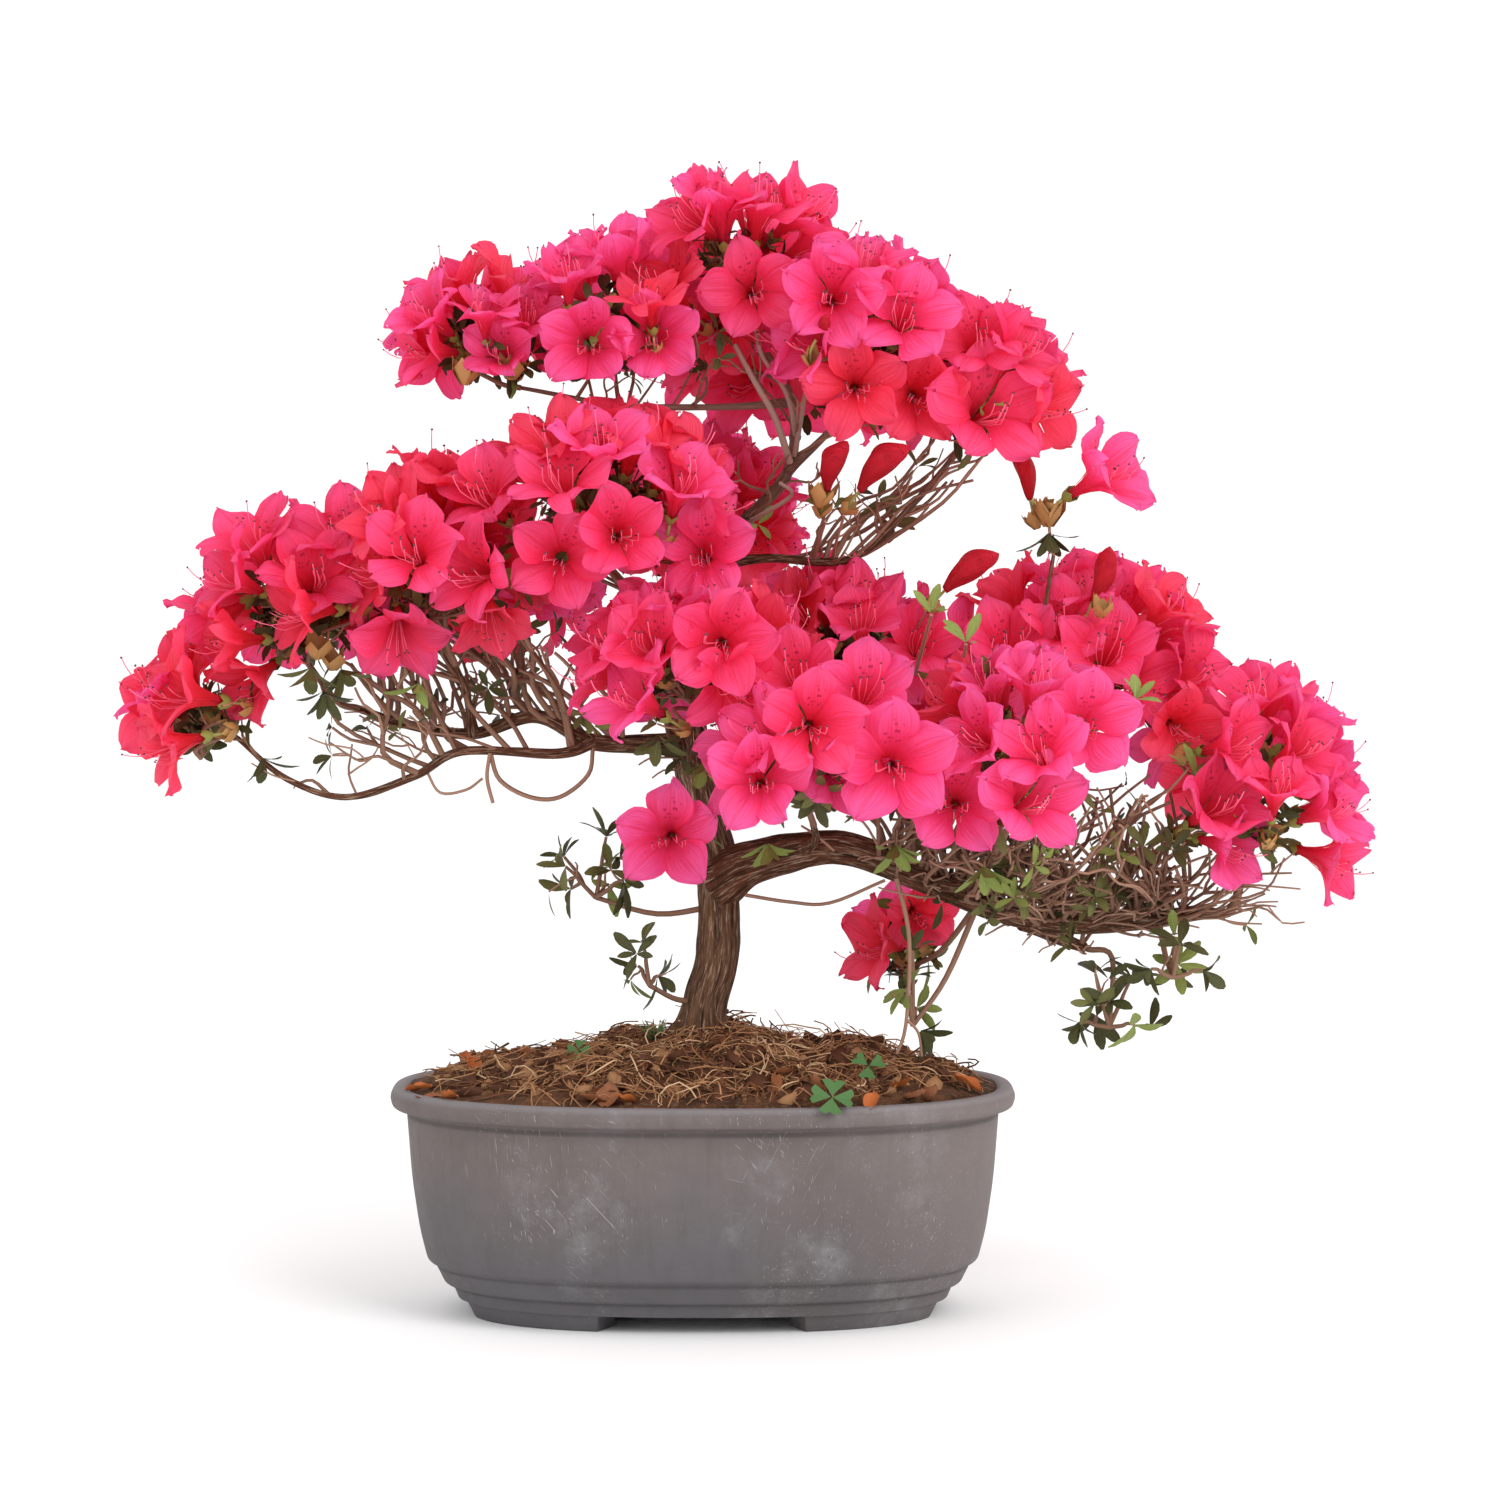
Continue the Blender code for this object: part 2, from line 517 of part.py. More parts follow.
def tip_count(pad):
    a, b, c = pad["half"]
    mean = ((a * b) ** AREA_POWER + (a * c) ** AREA_POWER + (b * c) ** AREA_POWER) / 3
    share = 4 * math.pi * mean ** (1 / AREA_POWER) * (1 - pad["lowest"]) / 2
    return max(FEWEST_TIPS, round(share / (AREA_PER_FLOWER if pad["blossom"] else AREA_PER_SPRIG)))


def find_tips(pad, pads, limbs, count):
    """Places for the pad's flowers or leaves, each as far from the earlier ones as its tries allow."""
    rng = random.Random(pad["seed"])
    depth = FLOWER_LENGTH if pad["blossom"] else LEAF_LENGTH * TIP_DEPTH
    tips = []
    for _ in range(count):
        best, best_room = None, -1.0
        for _ in range(TRIES):
            rise = rng.uniform(pad["lowest"], 1.0)
            turn = rng.uniform(0, 2 * math.pi)
            flat = math.sqrt(1 - rise * rise)
            way = Vector((flat * math.cos(turn), flat * math.sin(turn), rise))
            reach = Vector(way[axis] * pad["half"][axis] for axis in range(3))
            skin = pad["centre"] + reach
            spot = pad["centre"] + reach * max(TIP_NEAREST, 1 - depth / reach.length)
            middle = (skin + spot) / 2
            if any(other is not pad and pad_share(middle, other) < 1 for other in pads):
                continue
            if limb_room(middle, limbs) < LIMB_ROOM:
                continue
            room = min(((skin - tip["skin"]).length for tip in tips), default=1.0)
            if room > best_room:
                best, best_room = {"skin": skin, "spot": spot, "way": way}, room
        if best:
            tips.append(best)
    for tip in tips:
        out = Vector(tip["way"][axis] / pad["half"][axis] for axis in range(3)).normalized()
        tilt = Vector(rng.uniform(-1, 1) for _ in range(3))
        tip["ahead"] = (out + Vector((0, 0, TIP_LIFT)) + tilt * TIP_SCATTER).normalized()
    return tips


def placed(points, spot, ahead, roll):
    """The points, modelled along +Z, turned to run ahead from the spot."""
    turn = ahead.to_track_quat("Z", "Y").to_matrix().to_4x4()
    frame = Matrix.Translation(spot) @ turn @ Matrix.Rotation(roll, 4, "Z")
    return [frame @ point for point in points]


def flower_rim():
    """The edge of a funnel with five lobes: a tip and a notch to each."""
    rim = []
    for step in range(2 * FLOWER_LOBES):
        turn = math.pi * step / FLOWER_LOBES
        share, height = (1.0, LOBE_RISE) if step % 2 == 0 else (LOBE_NOTCH, NOTCH_RISE)
        radius = FLOWER_RADIUS * share
        rim.append(Vector((radius * math.cos(turn), radius * math.sin(turn), FLOWER_LENGTH * height)))
    return rim


def flowering_twig(way, tip, spread=1.0):
    """A twig and the hollow funnel that opens from its end, in one skin."""
    points, faces = tube(way, taper(len(way), *TWIG_RADII), TWIG_SIDES)
    faces.pop()
    foot = len(points) - TWIG_SIDES
    side = (points[foot] - tip["spot"]).normalized()
    other = tip["ahead"].cross(side).normalized()
    side = other.cross(tip["ahead"])
    first = len(points)
    for point in flower_rim():
        points.append(tip["spot"] + (side * point.x + other * point.y) * spread + tip["ahead"] * point.z)
    rim = len(points) - first
    share = rim // TWIG_SIDES
    for step in range(rim):
        here, after = first + step, first + (step + 1) % rim
        behind = foot + ((step + share // 2) // share) % TWIG_SIDES
        faces.append((behind, after, here))
        if (step + 1 + share // 2) % share == 0:
            faces.append((behind, foot + (behind - foot + 1) % TWIG_SIDES, after))
        faces.append((len(points), here, after))
    points.append(tip["spot"] + tip["ahead"] * FLOWER_THROAT)
    return points, faces


def leaf_shape():
    """A pointed blade of eight faces along +Z."""
    half = LEAF_THICKNESS / 2
    points = [Vector((0, 0, 0)), Vector((LEAF_WIDTH / 2, 0, LEAF_LENGTH * 0.62)), Vector((0, 0, LEAF_LENGTH)),
              Vector((-LEAF_WIDTH / 2, 0, LEAF_LENGTH * 0.62)), Vector((0, half, LEAF_LENGTH * 0.5)),
              Vector((0, -half, LEAF_LENGTH * 0.5))]
    faces = [(here, (here + 1) % 4, 4) for here in range(4)]
    faces += [((here + 1) % 4, here, 5) for here in range(4)]
    return points, faces


def bend(start, end, ahead):
    """Three points from start to end that arrive running ahead."""
    middle = (start + end) / 2 - ahead * (end - start).length * TWIG_BEND
    return [start, middle, end]


def tree_of(points, faces):
    return BVHTree.FromPolygons(points, faces)


def tree_of_mesh(mesh):
    points = [vertex.co for vertex in mesh.vertices]
    return tree_of(points, [tuple(face.vertices) for face in mesh.polygons])


class Growth:
    """The loose pieces of one pad. All pads grow by turns, and each piece is tested against the limbs
    and against everything that the other pads have grown so far."""

    def __init__(self, pad, pads, limbs, crowd):
        self.pad = pad
        self.crowd = crowd
        self.pieces = []
        self.blades = []
        self.leaders = []
        (foot, *others), radius = stem_path(pad, limbs)
        path = [foot] + smooth_path(others, 1)
        self.hub = path[-1].lerp(path[-2], HUB_BACK)
        self.keep(*tube(path, taper(len(path), radius, radius * STEM_TAPER), STEM_SIDES))
        self.tips = find_tips(pad, pads, limbs, tip_count(pad))

    def keep(self, points, faces):
        self.pieces.append((points, faces))
        self.crowd.append((self.pad["name"], tree_of(points, faces)))

    def fits(self, points, faces, others):
        mesh = mesh_from("trial", points, faces)
        grown = [vertex.co + vertex.normal * CLEARANCE for vertex in mesh.vertices]
        tree = tree_of(grown, [tuple(face.vertices) for face in mesh.polygons])
        bpy.data.meshes.remove(mesh)
        return not any(tree.overlap(other) for other in others)

    def add(self, points, faces, blade=None):
        """Keeps a piece that touches no neighbour. Its blade, the heart of a flower, must also stay
        clear of the other twigs and flowers of this pad."""
        others = [tree for owner, tree in self.crowd if owner != self.pad["name"]]
        if not self.fits(points, faces, others + self.blades):
            return False
        if blade:
            if not self.fits(*blade, [tree_of(*piece) for piece in self.pieces]):
                return False
            self.blades.append(tree_of(*blade))
        self.keep(points, faces)
        return True

    def grow_next(self, index):
        """Tries the pad's next tip: a leader from the hub, or a twig that forks from the nearest leader."""
        if index >= len(self.tips):
            return
        tip = self.tips[index]
        leader = None
        if len(self.leaders) < LEADERS:
            start = self.hub
            joint = start.lerp(tip["spot"], JOINT_REACH)
            way = [start] + bend(joint, tip["spot"], tip["ahead"])
        else:
            leader = min(self.leaders, key=lambda other: (other["joint"] - tip["spot"]).length)
            share = max(FORK_LOWEST, 1.0 - FORK_STEP * leader["forks"])
            start = self.hub.lerp(leader["joint"], share)
            way = bend(start, tip["spot"], tip["ahead"])
        if self.pad["blossom"]:
            points, faces = flowering_twig(way, tip)
            heart, skin = flowering_twig(way, tip, HEART_SHARE)
            grown = self.add(points, faces, blade=(heart, skin[-FUNNEL_FACES:]))
        else:
            grown = self.add(*tube(way, taper(len(way), *TWIG_RADII), TWIG_SIDES))
        if not grown:
            return
        if leader:
            leader["forks"] += 1
        else:
            self.leaders.append({"joint": joint, "forks": 0})
        if index % LEAVES_EVERY == 0 or not self.pad["blossom"]:
            self.add_leaves(tip, start, index)

    def add_leaves(self, tip, start, index):
        """Leaves set one after another round a leafy twig, or one part of the way up a flowering one."""
        rng = random.Random(self.pad["seed"] * 1000 + index)
        points, faces = leaf_shape()
        way = smooth_path(bend(start, tip["spot"], tip["ahead"]), 8)
        for leaf, share in enumerate(LEAF_PLACES[:1] if self.pad["blossom"] else LEAF_PLACES):
            spot = way[round(share * (len(way) - 1))]
            turn = leaf * LEAF_TURN + rng.uniform(-LEAF_SCATTER, LEAF_SCATTER)
            across = tip["ahead"].orthogonal().normalized()
            across.rotate(Matrix.Rotation(turn, 3, tip["ahead"]))
            lean = (tip["ahead"] * rng.uniform(*LEAF_LEAN) + across).normalized()
            shape = placed(points, spot - lean * LEAF_SUNK, lean, rng.uniform(0, math.pi))
            if all(pad_share(point, self.pad) < LEAF_REACH for point in shape):
                self.add(shape, faces)

    def join(self, finish, solver):
        """One Boolean union of all the pieces."""
        name = self.pad["name"]
        collection = bpy.data.collections.new(name)
        bpy.context.scene.collection.children.link(collection)
        stem, *others = self.pieces
        obj = add_object(mesh_from(name, *stem), name, finish)
        for points, faces in others:
            collection.objects.link(bpy.data.objects.new("piece", mesh_from("piece", points, faces)))
        boolean(obj, "UNION", collection=collection, solver=solver)
        return obj


def stem_path(pad, limbs):
    """From the carrying limb's tip, or the axis of its nearest stretch, to the pad's hub."""
    limb = limbs[pad["carrier"]]
    hub = pad["centre"] - Vector((0, 0, pad["half"].z * HUB_DROP))
    if pad["name"] in SIDE_CARRIED:
        foot = nearest_on(limb, hub)
        radius = min(SIDE_STEM_RADIUS, limb["radii"][limb["path"].index(foot)] * SIDE_STEM_SHARE)
        middle = (foot + hub) / 2 - Vector((0, 0, SIDE_STEM_SAG)) * (hub - foot).length
        return [foot, middle, hub], radius
    tip = limb["path"][-1]
    ahead = (tip - limb["path"][-2]).normalized()
    reach = (hub - tip).length
    straight = tip + ahead * max(2 * STEM_BUTT, reach * STEM_RISE)
    return [tip + ahead * GAP, tip + ahead * STEM_BUTT, straight, hub], limb["radii"][-1] * STEM_SHARE


def finish_pad(growth, limbs, solver):
    """Fuses the pad and, where it springs from the side of a limb, cuts it clear of that limb."""
    pad = growth.pad
    finish = "blossom" if pad["blossom"] else "leaf"
    obj = growth.join(finish, solver)
    if pad["name"] in SIDE_CARRIED:
        room = mesh_from("room", *limb_shape(limbs[pad["carrier"]], GAP))
        boolean(obj, "DIFFERENCE", add_object(room, "room", "bark"))
    closed = keep_largest_shell(obj.data)
    obj.data.materials.clear()  # the union lists its finish once for every piece
    obj.data.materials.append(material(finish))
    return obj, closed


def make_tree():
    limbs = plan_limbs()
    crowd = [(limb["name"], tree_of_mesh(make_limb(limb, limbs).data)) for limb in limbs.values()]
    pads = plan_pads()
    growths = [Growth(pad, pads, limbs, crowd) for pad in pads]
    for index in range(max(len(growth.tips) for growth in growths)):
        for growth in growths:
            growth.grow_next(index)
    for growth in growths:
        obj, closed = finish_pad(growth, limbs, "EXACT")
        if not closed:
            bpy.data.objects.remove(obj, do_unlink=True)
            finish_pad(growth, limbs, "MANIFOLD")


def centre_on_ground():
    """Moves the whole plant so that the middle of its box stands over the origin."""
    corners = [vertex.co for obj in bpy.data.objects for vertex in obj.data.vertices]
    middle = [(min(point[axis] for point in corners) + max(point[axis] for point in corners)) / 2
              for axis in range(2)]
    lowest = min(point.z for point in corners)
    for obj in bpy.data.objects:
        obj.data.transform(Matrix.Translation((-middle[0], -middle[1], -lowest)))


clear_scene()
make_pot()
make_soil()
make_tree()
centre_on_ground()
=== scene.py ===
# Azalea bonsai in full bloom. This repeats the plant's own limbs and masses, dresses them with bark, twigs,
# five-lobed flowers and leaves, and adds earth with its fibres and a worn clay pot.
import json
import random
from math import atan2, copysign, cos, exp, hypot, pi, radians, sin, sqrt

import bmesh
import bpy
import numpy as np
from mathutils import Matrix, Vector, noise

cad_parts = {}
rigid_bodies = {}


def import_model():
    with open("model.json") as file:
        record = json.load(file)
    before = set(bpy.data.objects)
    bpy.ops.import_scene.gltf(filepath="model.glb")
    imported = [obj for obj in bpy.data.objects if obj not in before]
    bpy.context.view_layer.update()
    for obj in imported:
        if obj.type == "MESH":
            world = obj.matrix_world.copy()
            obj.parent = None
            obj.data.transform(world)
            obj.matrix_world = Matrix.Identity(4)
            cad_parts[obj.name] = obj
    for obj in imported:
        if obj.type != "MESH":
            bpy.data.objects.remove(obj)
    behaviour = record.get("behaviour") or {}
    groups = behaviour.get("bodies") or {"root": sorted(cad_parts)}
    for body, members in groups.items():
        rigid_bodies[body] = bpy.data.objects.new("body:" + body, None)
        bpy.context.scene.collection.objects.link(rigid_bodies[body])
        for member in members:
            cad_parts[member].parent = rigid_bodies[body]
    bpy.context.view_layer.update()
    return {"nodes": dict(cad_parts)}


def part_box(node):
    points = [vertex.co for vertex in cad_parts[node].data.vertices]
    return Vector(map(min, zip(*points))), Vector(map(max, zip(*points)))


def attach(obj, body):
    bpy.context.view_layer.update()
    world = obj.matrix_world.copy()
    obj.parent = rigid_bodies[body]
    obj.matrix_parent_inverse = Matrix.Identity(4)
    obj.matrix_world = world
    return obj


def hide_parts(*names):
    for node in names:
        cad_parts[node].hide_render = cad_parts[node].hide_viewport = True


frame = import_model()
potLow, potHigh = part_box("pot")
potCentre = Vector(((potLow.x + potHigh.x) / 2, (potLow.y + potHigh.y) / 2, 0))
print("frame loaded:", len(frame["nodes"]), "nodes")


def put(tree, kind, values=None, **settings):
    # a new node with its settings; a value is a plain one or the socket that feeds it
    node = tree.nodes.new(kind)
    for name, value in settings.items():
        setattr(node, name, value)
    for name, value in (values or {}).items():
        if isinstance(value, bpy.types.NodeSocket):
            tree.links.new(value, node.inputs[name])
        else:
            node.inputs[name].default_value = value
    return node


def mixColours(tree, mask, first, second):
    # first where the mask is 0 and second where it is 1; each may be a socket or a colour
    first, second = ((*one, 1.0) if isinstance(one, tuple) else one for one in (first, second))
    return put(tree, "ShaderNodeMix", {0: mask, 6: first, 7: second}, data_type="RGBA").outputs[2]


def calculate(tree, operation, first, second=0.5):
    return put(tree, "ShaderNodeMath", {0: first, 1: second}, operation=operation).outputs[0]


def times(tree, first, second):
    return calculate(tree, "MULTIPLY", first, second)


def spread(tree, source, low, high, least=0.0, most=1.0):
    # stretches the stretch low..high of a value over least..most
    values = {"Value": source, "From Min": low, "From Max": high, "To Min": least, "To Max": most}
    return put(tree, "ShaderNodeMapRange", values).outputs["Result"]


def tinted(tree, mask, under, over, most):
    # one colour over another, at most that strong
    return mixColours(tree, spread(tree, mask, 0.0, 1.0, 0.0, most), under, over)


def newGroup(name, kind, inputs, outputs):
    # returns the tree, the sockets that bring its inputs and the sockets that take its outputs
    group = bpy.data.node_groups.new(name, kind)
    for title, sort, value in inputs:
        socket = group.interface.new_socket(title, in_out="INPUT", socket_type="NodeSocket" + sort)
        if value is not None:
            socket.default_value = value
    for title, sort in outputs:
        group.interface.new_socket(title, in_out="OUTPUT", socket_type="NodeSocket" + sort)
    return group, group.nodes.new("NodeGroupInput").outputs, group.nodes.new("NodeGroupOutput").inputs


def useGroup(tree, group, vector, **values):
    return put(tree, "ShaderNodeGroup", {"Vector": vector, **values}, node_tree=group)


def mottled(tree, vector, scale, low, high):
    return useGroup(tree, mottle, vector, Scale=scale, Low=low, High=high).outputs["Mask"]


def newObject(mesh, name):
    obj = bpy.data.objects.new(name, mesh)
    bpy.context.scene.collection.objects.link(obj)
    return obj


def meshOf(name, points, faces, uv=None, smooth=True):
    mesh = bpy.data.meshes.new(name)
    mesh.from_pydata([tuple(point) for point in points], [], faces)
    if uv is not None:
        layer = mesh.uv_layers.new(name="OFBake")
        corners = [uv[corner] for face in faces for corner in face]
        layer.data.foreach_set("uv", np.array(corners, np.float32).ravel())
    if smooth:
        mesh.shade_smooth()
    return mesh


def smoothPath(points, steps=2):
    # a Catmull-Rom curve through the points, in equal steps between them
    points = [Vector(point) for point in points]
    padded = [2 * points[0] - points[1]] + points + [2 * points[-1] - points[-2]]
    path = []
    for index in range(len(points) - 1):
        before, start, end, after = padded[index:index + 4]
        bend = 2 * before - 5 * start + 4 * end - after
        twist = 3 * start - before - 3 * end + after
        for step in range(steps):
            t = step / steps
            path.append(0.5 * (2 * start + (end - before) * t + bend * t * t + twist * t ** 3))
    return path + [points[-1]]


def taper(count, first, last):
    return [first + (last - first) * index / (count - 1) for index in range(count)]


def addModifier(obj, tree, **values):
    # inputs are set by their identifiers, before the object is first evaluated
    modifier = obj.modifiers.new(tree.name, "NODES")
    modifier.node_group = tree
    for item in tree.interface.items_tree:
        if item.item_type == "SOCKET" and item.in_out == "INPUT" and item.name in values:
            modifier[item.identifier] = values[item.name]
    return modifier


def settle(obj):
    # the result of the modifiers becomes the object's own mesh
    graph = bpy.context.evaluated_depsgraph_get()
    made = bpy.data.meshes.new_from_object(obj.evaluated_get(graph))
    obj.modifiers.clear()
    obj.data = made
    for name in ("turn", "size", "kind", "thick"):
        if name in made.attributes:
            made.attributes.remove(made.attributes[name])
    print("  ", obj.name, sum(len(face.vertices) - 2 for face in made.polygons), "triangles")
    return obj


# the camera, the floor and the light
studio = {
    "distance": 1.9, "elevation": radians(2.4), "aim": Vector((0.0203, 0.0, 0.2424)), "lens": 105.7,
    "floor": 8.0, "floorTint": (0.94, 0.94, 0.94), "sky": 1.08,
    "keySize": 1.5, "keyPower": 38.0, "keyPlace": Vector((1.4, -1.8, 1.6)),
    "fillSize": 2.2, "fillPower": 16.0, "fillPlace": Vector((-1.6, -1.9, 0.9)),
}


def aimAt(obj, place, target):
    obj.location = place
    obj.rotation_mode = "QUATERNION"
    obj.rotation_quaternion = (target - place).to_track_quat("-Z", "Y")


def makeStudio():
    aim = potCentre + studio["aim"]
    away = Vector((0, -cos(studio["elevation"]), sin(studio["elevation"])))
    camera = newObject(bpy.data.cameras.new("camera"), "camera")
    camera.data.lens = studio["lens"]
    camera.data.sensor_width = 36.0
    aimAt(camera, aim + away * studio["distance"], aim)
    bpy.context.scene.camera = camera
    half = studio["floor"] / 2
    corners = [(-half, -half, 0), (half, -half, 0), (half, half, 0), (-half, half, 0)]
    floor = newObject(meshOf("floor", corners, [(0, 1, 2, 3)], smooth=False), "floor")
    paint = bpy.data.materials.new("floorPaint")
    paint.use_nodes = True
    shader = paint.node_tree.nodes["Principled BSDF"]
    shader.inputs["Base Color"].default_value = (*studio["floorTint"], 1.0)
    shader.inputs["Roughness"].default_value = 0.9
    floor.data.materials.append(paint)
    for name in ("key", "fill"):
        lamp = newObject(bpy.data.lights.new(name, "AREA"), name + "Light")
        lamp.data.size = studio[name + "Size"]
        lamp.data.energy = studio[name + "Power"]
        aimAt(lamp, studio[name + "Place"], aim)
    world = bpy.data.worlds.new("studio")
    world.use_nodes = True
    world.node_tree.nodes["Background"].inputs["Color"].default_value = (1.0, 1.0, 1.0, 1.0)
    world.node_tree.nodes["Background"].inputs["Strength"].default_value = studio["sky"]
    bpy.context.scene.world = world
    bpy.context.scene.view_settings.view_transform = "Standard"
    print("studio set")


makeStudio()


def mottleGroup():
    group, given, result = newGroup("mottle", "ShaderNodeTree", (
        ("Vector", "Vector", None), ("Scale", "Float", 20.0), ("Low", "Float", 0.4), ("High", "Float", 0.6)),
        (("Mask", "Float"),))
    grain = put(group, "ShaderNodeTexNoise", {
        "Vector": given["Vector"], "Scale": given["Scale"], "Detail": 6.0, "Roughness": 0.6})
    group.links.new(spread(group, grain.outputs["Fac"], given["Low"], given["High"]), result["Mask"])
    return group


def drawnOut(group, vector, given):
    # the vector scaled across and along, so that noise on it makes streaks
    across = given["Across"]
    scale = put(group, "ShaderNodeCombineXYZ", {"X": across, "Y": across, "Z": given["Along"]})
    drawn = put(group, "ShaderNodeVectorMath", {0: vector, 1: scale.outputs[0]}, operation="MULTIPLY")
    return drawn.outputs[0]


def streakGroup():
    # noise drawn out along the vector's third axis
    group, given, result = newGroup("streaks", "ShaderNodeTree", (
        ("Vector", "Vector", None), ("Across", "Float", 500.0), ("Along", "Float", 40.0),
        ("Low", "Float", 0.4), ("High", "Float", 0.6)), (("Mask", "Float"), ("Height", "Float")))
    grain = put(group, "ShaderNodeTexNoise", {
        "Vector": drawnOut(group, given["Vector"], given), "Scale": 1.0, "Detail": 5.0, "Roughness": 0.65})
    group.links.new(spread(group, grain.outputs["Fac"], given["Low"], given["High"]), result["Mask"])
    group.links.new(grain.outputs["Fac"], result["Height"])
    return group


def scratchGroup():
    # short straight dashes, a few of them where the noise peaks
    group, given, result = newGroup("scratches", "ShaderNodeTree", (
        ("Vector", "Vector", None), ("Angle", "Float", 0.0), ("Across", "Float", 900.0),
        ("Along", "Float", 60.0), ("Amount", "Float", 0.5)), (("Mask", "Float"),))
    tilt = put(group, "ShaderNodeVectorRotate", {
        "Axis": (0.0, 1.0, 0.0), "Vector": given["Vector"], "Angle": given["Angle"]})
    grain = put(group, "ShaderNodeTexNoise", {
        "Vector": drawnOut(group, tilt.outputs[0], given), "Scale": 1.0, "Detail": 0.5})
    more = spread(group, given["Amount"], 0.0, 1.0, -0.06, 0.06)
    peaks = calculate(group, "ADD", grain.outputs["Fac"], more)
    group.links.new(spread(group, peaks, 0.7, 0.76), result["Mask"])
    return group


mottle = mottleGroup()
streaks = streakGroup()
scratches = scratchGroup()


def newFinish(name, roughness, specular=0.5):
    material = bpy.data.materials.new(name)
    material.use_nodes = True
    shader = material.node_tree.nodes["Principled BSDF"]
    shader.inputs["Roughness"].default_value = roughness
    shader.inputs["Specular IOR Level"].default_value = specular
    return material, material.node_tree, shader


def plainFinish(name, colour, roughness, specular=0.4):
    material, _, shader = newFinish(name, roughness, specular)
    shader.inputs["Base Color"].default_value = (*colour, 1.0)
    return material


def addBump(tree, shader, height, distance, strength=1.0):
    bump = put(tree, "ShaderNodeBump", {"Height": height, "Distance": distance, "Strength": strength})
    tree.links.new(bump.outputs["Normal"], shader.inputs["Normal"])


# the pot
pot = {
    "width": 0.27, "depth": 0.193, "squareness": 2.4, "segments": 144, "corner": 5,
    # (inset from the rim, height, rounding) up the outside, over the rolled rim and down the inside
    "profile": ((0.029, 0.0074, 0.0006), (0.0266, 0.013, 0.0006), (0.0232, 0.014, 0.0012),
                (0.0192, 0.0222, 0.0014), (0.016, 0.0238, 0.0016), (0.0128, 0.036, 0.006),
                (0.0094, 0.059, 0.008), (0.0072, 0.0884, 0.0009), (0.0012, 0.09, 0.0012),
                (0.0, 0.094, 0.0018), (0.0018, 0.0982, 0.0014), (0.0062, 0.0984, 0.0014),
                (0.0092, 0.0966, 0.0016), (0.011, 0.086, 0.004), (0.015, 0.042, 0.006),
                (0.024, 0.0164, 0.004), (0.03, 0.0114, 0.002)),
    "footInset": (0.0295, 0.0335), "footRim": 0.016, "footTop": 0.0094, "footGapFront": 0.083,
    "footGapEnd": 0.044, "footSlant": 0.003, "footLength": 0.11, "footChamfer": 0.0008,
    "drainRadius": 0.0075, "drainOffset": 0.055,
    # upper and lower: the wall's tone, lighter high up as a painted highlight and darker low down as painted
    # shade
    "upper": (0.128, 0.106, 0.101), "lower": (0.094, 0.089, 0.096), "dark": (0.062, 0.054, 0.054),
    # dry: the paler tone of a painted highlight on the right end, which faces the key light
    "chalk": (0.33, 0.34, 0.365), "stain": (0.098, 0.078, 0.07), "dry": (0.27, 0.225, 0.215),
    "creaseShade": (0.03, 0.025, 0.025), "scratch": (0.4, 0.385, 0.38),
    # painted shade in the creases of the mouldings and under the rim: height, half width, strength
    "creaseShadeBands": ((0.0128, 0.0012, 0.5), (0.0216, 0.0012, 0.5), (0.0868, 0.0016, 0.6)),
    # scratches: angle, fineness across and along, amount
    "marks": ((0.75, 1800.0, 26.0, 0.3), (-0.5, 2000.0, 22.0, 0.27), (1.35, 1700.0, 30.0, 0.24),
              (0.1, 2200.0, 28.0, 0.34)),
}


def outline(inset, height, turn):
    across, along = cos(turn), sin(turn)
    power = 2 / pot["squareness"]
    return Vector((copysign(abs(across) ** power, across) * (pot["width"] / 2 - inset),
        copysign(abs(along) ** power, along) * (pot["depth"] / 2 - inset), height))


def potRing(inset, height, count):
    return [outline(inset, height, 2 * pi * step / count) for step in range(count)]


def roundedProfile(corners):
    # each corner but the end ones becomes a short curve
    line = [corners[0][:2]]
    for before, here, after in zip(corners, corners[1:], corners[2:]):
        corner = Vector(here[:2])
        legs = []
        for other in (before, after):
            leg = Vector(other[:2]) - corner
            legs.append(corner + leg * min(0.45, here[2] / leg.length))
        for step in range(pot["corner"]):
            t = step / (pot["corner"] - 1)
            line.append(tuple(legs[0] * (1 - t) ** 2 + corner * 2 * t * (1 - t) + legs[1] * t * t))
    return line + [corners[-1][:2]]


def skinOver(rings, closed=False, caps=True):
    size = len(rings[0])
    points = [point for ring in rings for point in ring]
    faces = []
    for level in range(len(rings) if closed else len(rings) - 1):
        low, high = level * size, (level + 1) % len(rings) * size
        for step in range(size):
            after = (step + 1) % size
            faces.append((low + step, low + after, high + after, high + step))
    if caps and not closed:
        faces.append(tuple(range(size - 1, -1, -1)))
        faces.append(tuple(range(len(points) - size, len(points))))
    return points, faces


def potFoot(firstTurn, lastTurn, count=28):
    # one foot follows the outline; its ends slant in towards the ground
    rings = []
    reach = lastTurn - firstTurn
    slant = pot["footSlant"] / pot["footLength"] / reach
    upper, lower = pot["footInset"]
    chamfer, rim, top = pot["footChamfer"], pot["footRim"], pot["footTop"]
    levels = ((upper, top, 0.0), (lower, chamfer, slant), (lower + chamfer, 0.0, slant),
        (lower + rim, 0.0, slant), (upper + rim, top, 0.0))
    for step in range(count):
        share = step / (count - 1)
        ring = []
        for inset, height, cut in levels:
            ring.append(outline(inset, height, firstTurn + reach * (cut + share * (1 - 2 * cut))))
        rings.append(ring)
    return skinOver(rings)


def turnWhere(axis, value):
    # the outline's turn, in the first quarter, where it crosses a value along one axis
    turns = [pi / 2 * step / 400 for step in range(401)]
    return min(turns, key=lambda turn: abs(outline(pot["footInset"][1], 0, turn)[axis] - value))


